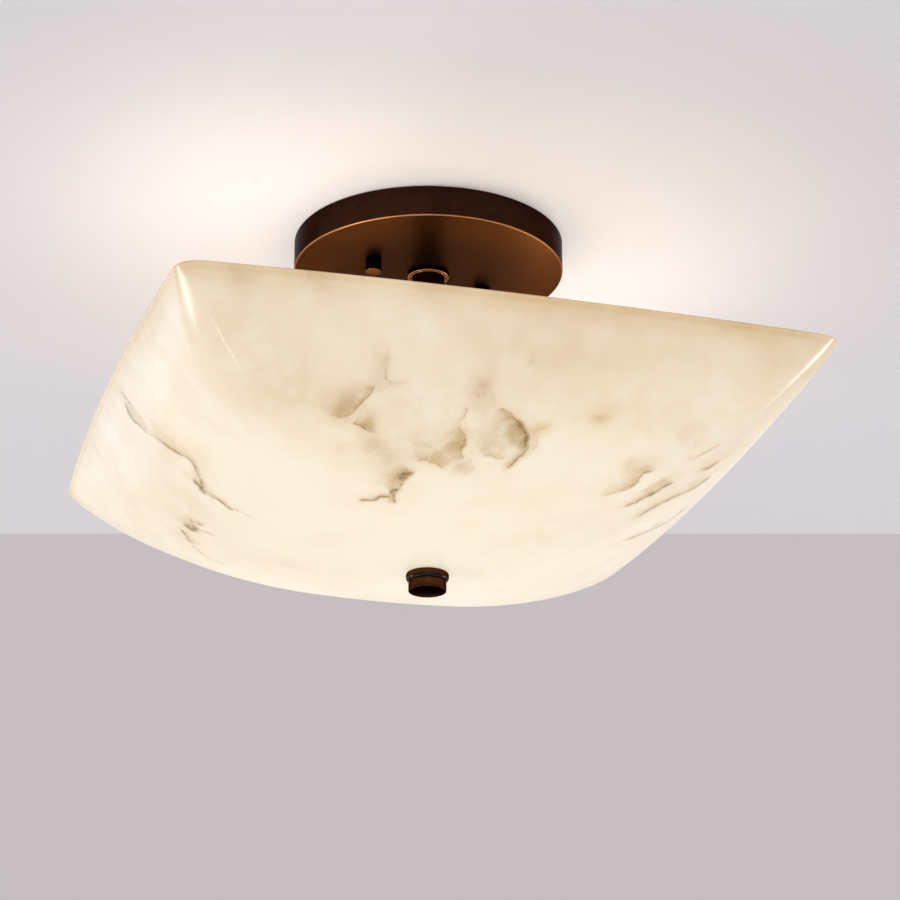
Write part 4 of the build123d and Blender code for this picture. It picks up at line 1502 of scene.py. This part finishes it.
STAINS = (
    Stain((388, 400), 24, 0.3), Stain((345, 405), 16, 0.35), Stain((338, 416), 12, 0.1, 0.5),
    Stain((364, 428), 10, 0.1, 0.6), Stain((384, 450), 20, 0.4), Stain((436, 459), 12, 0.1, 0.8),
    Stain((425, 440), 24, 0.22), Stain((506, 432), 24, 0.5, 0.1), Stain((482, 393), 14, 0.4),
    Stain((458, 440), 14, 0.3, 0.5), Stain((463, 466), 9, 0.5), Stain((412, 405), 11, 0.35),
    Stain((541, 430), 12, 0.0, 0.6), Stain((508, 350), 7, 0.4), Stain((533, 360), 6, 0.35),
    Stain((601, 417), 11, 0.4, 0.3), Stain((629, 464), 8, 0.2, 0.9), Stain((690, 438), 20, 0.3),
    Stain((392, 478), 9, 0.3), Stain((610, 415), 55, 0.0, 0.3), Stain((285, 385), 42, 0.32),
    Stain((245, 330), 34, 0.25), Stain((560, 350), 50, 0.18), Stain((700, 340), 60, 0.14, 0.1),
    Stain((800, 345), 40, 0.25), Stain((245, 272), 20, 0.35), Stain((318, 274), 26, 0.45),
    Stain((430, 290), 30, 0.2), Stain((440, 400), 120, 0.1),
)
# The same handwriting is used again where the photograph doesn't reach: how far round the bowl, in
# degrees, and how big.
ECHOES = ((143.0, 1.06), (-98.0, 0.94))


class Marbling:
    """Draws the veins and stains of the glass as values on the bowl's own points."""

    LAYERS = 4
    REACH = 4.5 * MM
    APART = 9.0 * MM
    MARGIN = 30.0 * MM
    FADE = 0.3
    TAPER = 0.16
    END_SHADOW = 0.25
    SEEN = 4.0 * MM
    UNDER = -1.0
    AWAY = 1.0

    def __init__(self, bowl: bpy.types.Object, view: Viewpoint) -> None:
        """Read the bowl's points.

        Args:
            bowl: The bowl.
            view: The viewpoint that the veins' pixels belong to.
        """
        self.bowl = bowl
        self.eye = view.eye()
        self.view = view
        self.places = self.read("co")
        self.normals = self.read("normal")

    def read(self, name: str) -> np.ndarray:
        """Read three values of each of the bowl's points.

        Args:
            name: What Blender calls them.

        Returns:
            One row for each point.
        """
        values = np.zeros(len(self.bowl.data.vertices) * 3)
        self.bowl.data.vertices.foreach_get(name, values)
        return values.reshape(-1, 3)

    def write(self, name: str, values: np.ndarray) -> None:
        """Keep three values for each point of the bowl under a name."""
        layer = self.bowl.data.attributes.new(name, "FLOAT_VECTOR", "POINT")
        layer.data.foreach_set("vector", values.astype(np.float32).ravel())

    def on_glass(self, pixel: Point) -> np.ndarray | None:
        """The point of the bowl that a pixel of the photograph shows."""
        hit, place, _, _ = self.bowl.ray_cast(self.eye, self.view.ray(pixel))
        return np.array(place) if hit else None

    def in_view(self, point: np.ndarray) -> bool:
        """Whether the photograph shows a point of the bowl."""
        hit, place, _, _ = self.bowl.ray_cast(self.eye, (Vector(point) - self.eye).normalized())
        return hit and (place - Vector(point)).length < self.SEEN

    def dropped(self, point: np.ndarray) -> np.ndarray | None:
        """The point of the bowl's outside straight over a place below it."""
        hit, place, _, _ = self.bowl.ray_cast(Vector((*point[:2], self.UNDER)), Vector((0, 0, 1)))
        return np.array(place) if hit else None

    @staticmethod
    def echo(turn: float, size: float) -> np.ndarray:
        """The turn and the scale that carry a point of the handwriting to its echo."""
        return np.array(Matrix.Rotation(math.radians(turn), 3, "Z")) * size

    def lines(self) -> list[tuple[Vein, np.ndarray]]:
        """Every vein on the bowl, as read and as echoed.

        Returns:
            The kind and the points of each vein.
        """
        read = [(stroke.kind, [self.on_glass(pixel) for pixel in stroke.points])
                for stroke in STROKES]
        found = self.whole(read)
        moved = [(kind, [self.dropped(self.echo(turn, size) @ point) for point in points])
                 for turn, size in ECHOES for kind, points in found]
        echoed = [(kind, points) for kind, points in self.whole(moved)
                  if not any(self.in_view(point) for point in points)]
        return [(kind, self.smooth(points)) for kind, points in found + echoed]

    @staticmethod
    def whole(veins: list[tuple[Vein, list[np.ndarray | None]]]) -> list[tuple[Vein, np.ndarray]]:
        """The veins that have at least two points on the glass, with those points alone."""
        kept = [(kind, [point for point in points if point is not None]) for kind, points in veins]
        return [(kind, np.array(points)) for kind, points in kept if len(points) > 1]

    @staticmethod
    def smooth(points: np.ndarray, steps: int = 5) -> np.ndarray:
        """Run a smooth curve through a vein's points.

        Args:
            points: The points.
            steps: How many steps lie between two of them.

        Returns:
            The curve's points.
        """
        ends = np.vstack([2 * points[0] - points[1], points, 2 * points[-1] - points[-2]])
        run = []
        for index in range(1, len(ends) - 2):
            a, b, c, d = ends[index - 1:index + 3]
            for step in range(steps):
                t = step / steps
                run.append(0.5 * (2 * b + (c - a) * t + (2 * a - 5 * b + 4 * c - d) * t**2
                                  + (3 * b - a - 3 * c + d) * t**3))
        return np.array(run + [points[-1]])

    @staticmethod
    def apart(points: np.ndarray, layer: list[tuple[Vein, np.ndarray]]) -> float:
        """Distance of a vein from the nearest one on a layer."""
        return min([float(np.linalg.norm(points[:, None] - other[None], axis=2).min())
                    for _, other in layer], default=Marbling.AWAY)

    def layered(self) -> list[list[tuple[Vein, np.ndarray]]]:
        """Share the veins out over the layers, so that two close ones aren't on the same layer.

        Returns:
            The veins of each layer.
        """
        layers: list[list[tuple[Vein, np.ndarray]]] = [[] for _ in range(self.LAYERS)]
        for kind, points in self.lines():
            gaps = [self.apart(points, layer) for layer in layers]
            free = [number for number, gap in enumerate(gaps) if gap > self.APART]
            layers[free[0] if free else int(np.argmax(gaps))].append((kind, points))
        return layers

    def near(self, points: np.ndarray, chosen: np.ndarray) -> tuple[np.ndarray, np.ndarray, np.ndarray]:
        """Distance of some points of the bowl from one vein.

        Args:
            points: The vein's points.
            chosen: The numbers of the bowl's points to look at.

        Returns:
            The distance with its side as its sign, how far along the vein the nearest point is,
            and the distance alone.
        """
        start, run = points[:-1], points[1:] - points[:-1]
        length = np.linalg.norm(run, axis=1)
        passed = np.concatenate([[0.0], np.cumsum(length)])
        away = self.places[chosen][:, None] - start[None]
        share = np.clip((away * run[None]).sum(2) / np.maximum(length**2, 1e-12), 0, 1)
        gap = away - share[:, :, None] * run[None]
        distance = np.linalg.norm(gap, axis=2)
        best = distance.argmin(1)
        rows = np.arange(len(best))
        near, along = distance[rows, best], share[rows, best]
        side = np.sign((np.cross(run[best], gap[rows, best]) * self.normals[chosen]).sum(1))
        place = (passed[best] + along * length[best]) / passed[-1]
        return near * np.where(side == 0, 1, side), place, near

    def draw_layer(self, number: int, layer: list[tuple[Vein, np.ndarray]]) -> None:
        """Write one layer of veins on the bowl.

        Args:
            number: The layer's number.
            layer: Its veins.
        """
        lines = np.tile([self.AWAY, MM, 0.0], (len(self.places), 1))
        tones = np.zeros((len(self.places), 3))
        closest = np.full(len(self.places), self.AWAY)
        for kind, points in layer:
            low, high = points.min(0) - self.MARGIN, points.max(0) + self.MARGIN
            chosen = np.where(((self.places > low) & (self.places < high)).all(1))[0]
            signed, place, near = self.near(points, chosen)
            ends = np.clip(np.minimum(place, 1 - place) / self.TAPER, 0, 1)
            ends = ends * ends * (3 - 2 * ends)
            drawn = ends * np.clip((self.REACH - near) / (self.FADE * self.REACH), 0, 1)
            soft = self.END_SHADOW + (1 - self.END_SHADOW) * ends
            soft = soft * kind.shadow * np.exp(-((near / kind.reach) ** 2))
            width = np.full(len(near), kind.half_width)
            better = near < closest[chosen]
            rows = chosen[better]
            lines[rows] = np.column_stack([signed, width, soft])[better]
            tones[rows] = (drawn[:, None] * [kind.line, kind.heart, 0.0])[better]
            closest[rows] = near[better]
        self.write(f"vein_{number}", lines)
        self.write(f"tone_{number}", tones)

    def draw(self) -> None:
        """Write the veins' and stains' values on the bowl."""
        for number, layer in enumerate(self.layered()):
            self.draw_layer(number, layer)
        stains = np.zeros((len(self.places), 3))
        for stain in STAINS:
            centre = self.on_glass(stain.centre)
            if centre is None:
                continue
            radius = stain.radius / self.view.focal * (self.eye - Vector(centre)).length
            for turn, size in ((0.0, 1.0), *ECHOES):
                middle = self.echo(turn, size) @ centre
                if turn and self.in_view(middle):
                    continue
                spread = np.exp(-((self.places - middle) ** 2).sum(1) / radius**2)
                stains += spread[:, None] * [stain.brown, stain.gold, 0.0]
        self.write("stain", np.clip(stains, 0, 1))


# ---- Surroundings ----
@dataclass(frozen=True)
class SoftLight:
    """A square soft light: its name, where it stands, its side and its watts."""

    name: str
    place: tuple[float, float, float]
    side: float
    watts: float
    colour: Colour = (1.0, 1.0, 1.0)

    def build(self, aim: Vector) -> None:
        """Set up the light.

        Args:
            aim: The point that it faces.
        """
        data = bpy.data.lights.new(self.name, "AREA")
        data.shape = "SQUARE"
        data.size = self.side
        data.energy = self.watts
        data.color = self.colour
        light = bpy.data.objects.new(self.name, data)
        light.visible_camera = False
        light.location = self.place
        light.rotation_mode = "QUATERNION"
        light.rotation_quaternion = (aim - Vector(self.place)).to_track_quat("-Z", "Y")
        bpy.context.scene.collection.objects.link(light)


LIGHTS = (
    SoftLight("front_light", (-0.5, -2.4, -1.6), 2.4, 8.0),
    SoftLight("left_soft_light", (-1.9, 1.6, -1.5), 2.6, 7.0),
    SoftLight("left_rear_light", (-1.5, 2.3, 0.0), 1.2, 3.6, (0.42, 0.68, 1.0)),
    SoftLight("left_low_light", (-1.5, 2.3, -0.6), 1.8, 1.2),
    SoftLight("left_edge_light", (-0.85, 0.46, -1.68), 0.22, 0.6),
    SoftLight("right_edge_light", (1.46, 0.58, -0.93), 0.22, 0.42),
    SoftLight("left_light", (-1.25, 0.75, -1.0), 0.36, 2.1),
    SoftLight("right_light", (1.5, 0.2, -0.97), 0.36, 2.5),
    SoftLight("upper_light", (0.5, 1.2, 1.8), 1.6, 8.0),
)


@dataclass(frozen=True)
class Studio:
    """Plain pale floor and ceiling, and soft light from all round."""

    ceiling_back: float = 0.468
    ceiling_size: float = 5.0
    ceiling_gap: float = 0.4 * MM
    ceiling_glow: float = 0.27
    floor_z: float = -2.2
    floor_size: float = 14.0
    backdrop: Colour = (0.56, 0.52, 0.53)
    daylight: Colour = (0.97, 0.97, 1.0)
    pale: Colour = (0.785, 0.76, 0.775)
    paint_roughness: float = 0.9
    ambient: float = 0.42
    aim: tuple[float, float, float] = (0.0, 0.0, -0.12)

    def build_world(self) -> None:
        """Light from all round, and the pale backdrop that eye, gloss and glass see."""
        world = bpy.data.worlds.new("studio")
        bpy.context.scene.world = world
        world.use_nodes = True
        wiring = Wiring(world.node_tree)
        world.node_tree.nodes.clear()
        path = wiring.add("LightPath").outputs
        seen = wiring.most(path["Is Camera Ray"], path["Is Glossy Ray"],
                           path["Is Transmission Ray"])
        soft = wiring.add("Background", {"Color": self.daylight, "Strength": self.ambient})
        shown = wiring.add("Background", {"Color": self.backdrop, "Strength": 1.0})
        mixed = wiring.add("MixShader", {0: seen, 1: soft.outputs[0], 2: shown.outputs[0]})
        wiring.add("OutputWorld", {0: mixed.outputs[0]})

    def paint(self, piece: bpy.types.Object) -> tuple[Wiring, bpy.types.Node]:
        """Give a surrounding piece its pale paint.

        Args:
            piece: The piece.

        Returns:
            The paint's wiring and its shader node.
        """
        material, wiring, shader = new_material(piece.name + "_paint")
        wiring.feed(shader, {"Base Color": self.pale, "Roughness": self.paint_roughness})
        piece.data.materials.append(material)
        return wiring, shader

    def build_ceiling(self, view: Viewpoint) -> None:
        """A pale ceiling that shows only from below and shades nothing.

        Args:
            view: The viewpoint; the ceiling's far edge lies square to it.
        """
        Bench.clear()
        bpy.ops.mesh.primitive_plane_add(size=self.ceiling_size, location=(0, 0, self.ceiling_gap))
        ceiling = Bench.name(bpy.context.object, "ceiling")
        Bench.open(ceiling)
        bpy.ops.mesh.select_all(action="SELECT")
        bpy.ops.mesh.flip_normals()
        bpy.ops.transform.translate(value=(0, self.ceiling_back - self.ceiling_size / 2, 0))
        bpy.ops.transform.rotate(value=-math.radians(view.azimuth), orient_axis="Z",
                                 center_override=(0, 0, 0))
        Bench.close()
        wiring, shader = self.paint(ceiling)
        wiring.feed(shader, {"Emission Color": self.pale, "Emission Strength": self.ceiling_glow})
        clear = wiring.add("BsdfTransparent")
        back = wiring.add("NewGeometry").outputs["Backfacing"]
        mixed = wiring.add("MixShader", {0: back, 1: shader.outputs[0], 2: clear.outputs[0]})
        wiring.feed(wiring.tree.nodes["Material Output"], {"Surface": mixed.outputs[0]})
        ceiling.visible_shadow = False

    def build_floor(self) -> None:
        """A plain pale floor far below the light."""
        Bench.clear()
        bpy.ops.mesh.primitive_plane_add(size=self.floor_size, location=(0, 0, self.floor_z))
        self.paint(Bench.name(bpy.context.object, "floor"))

    def build(self, view: Viewpoint) -> None:
        """Make the surroundings and the lights.

        Args:
            view: The viewpoint of the photograph.
        """
        self.build_world()
        self.build_ceiling(view)
        self.build_floor()
        for light in LIGHTS:
            light.build(Vector(self.aim))


def main() -> None:
    """Build the light, its surroundings and its camera."""
    logging.basicConfig(level=logging.INFO, format="%(name)s %(message)s")
    bpy.context.scene.view_settings.view_transform = "Standard"
    view = Viewpoint()
    view.build()
    dress_carried()
    Canopy().build()
    Collar().build()
    Finial().build()
    Shade().build(view)
    Studio().build(view)


if __name__ == "__main__":
    main()
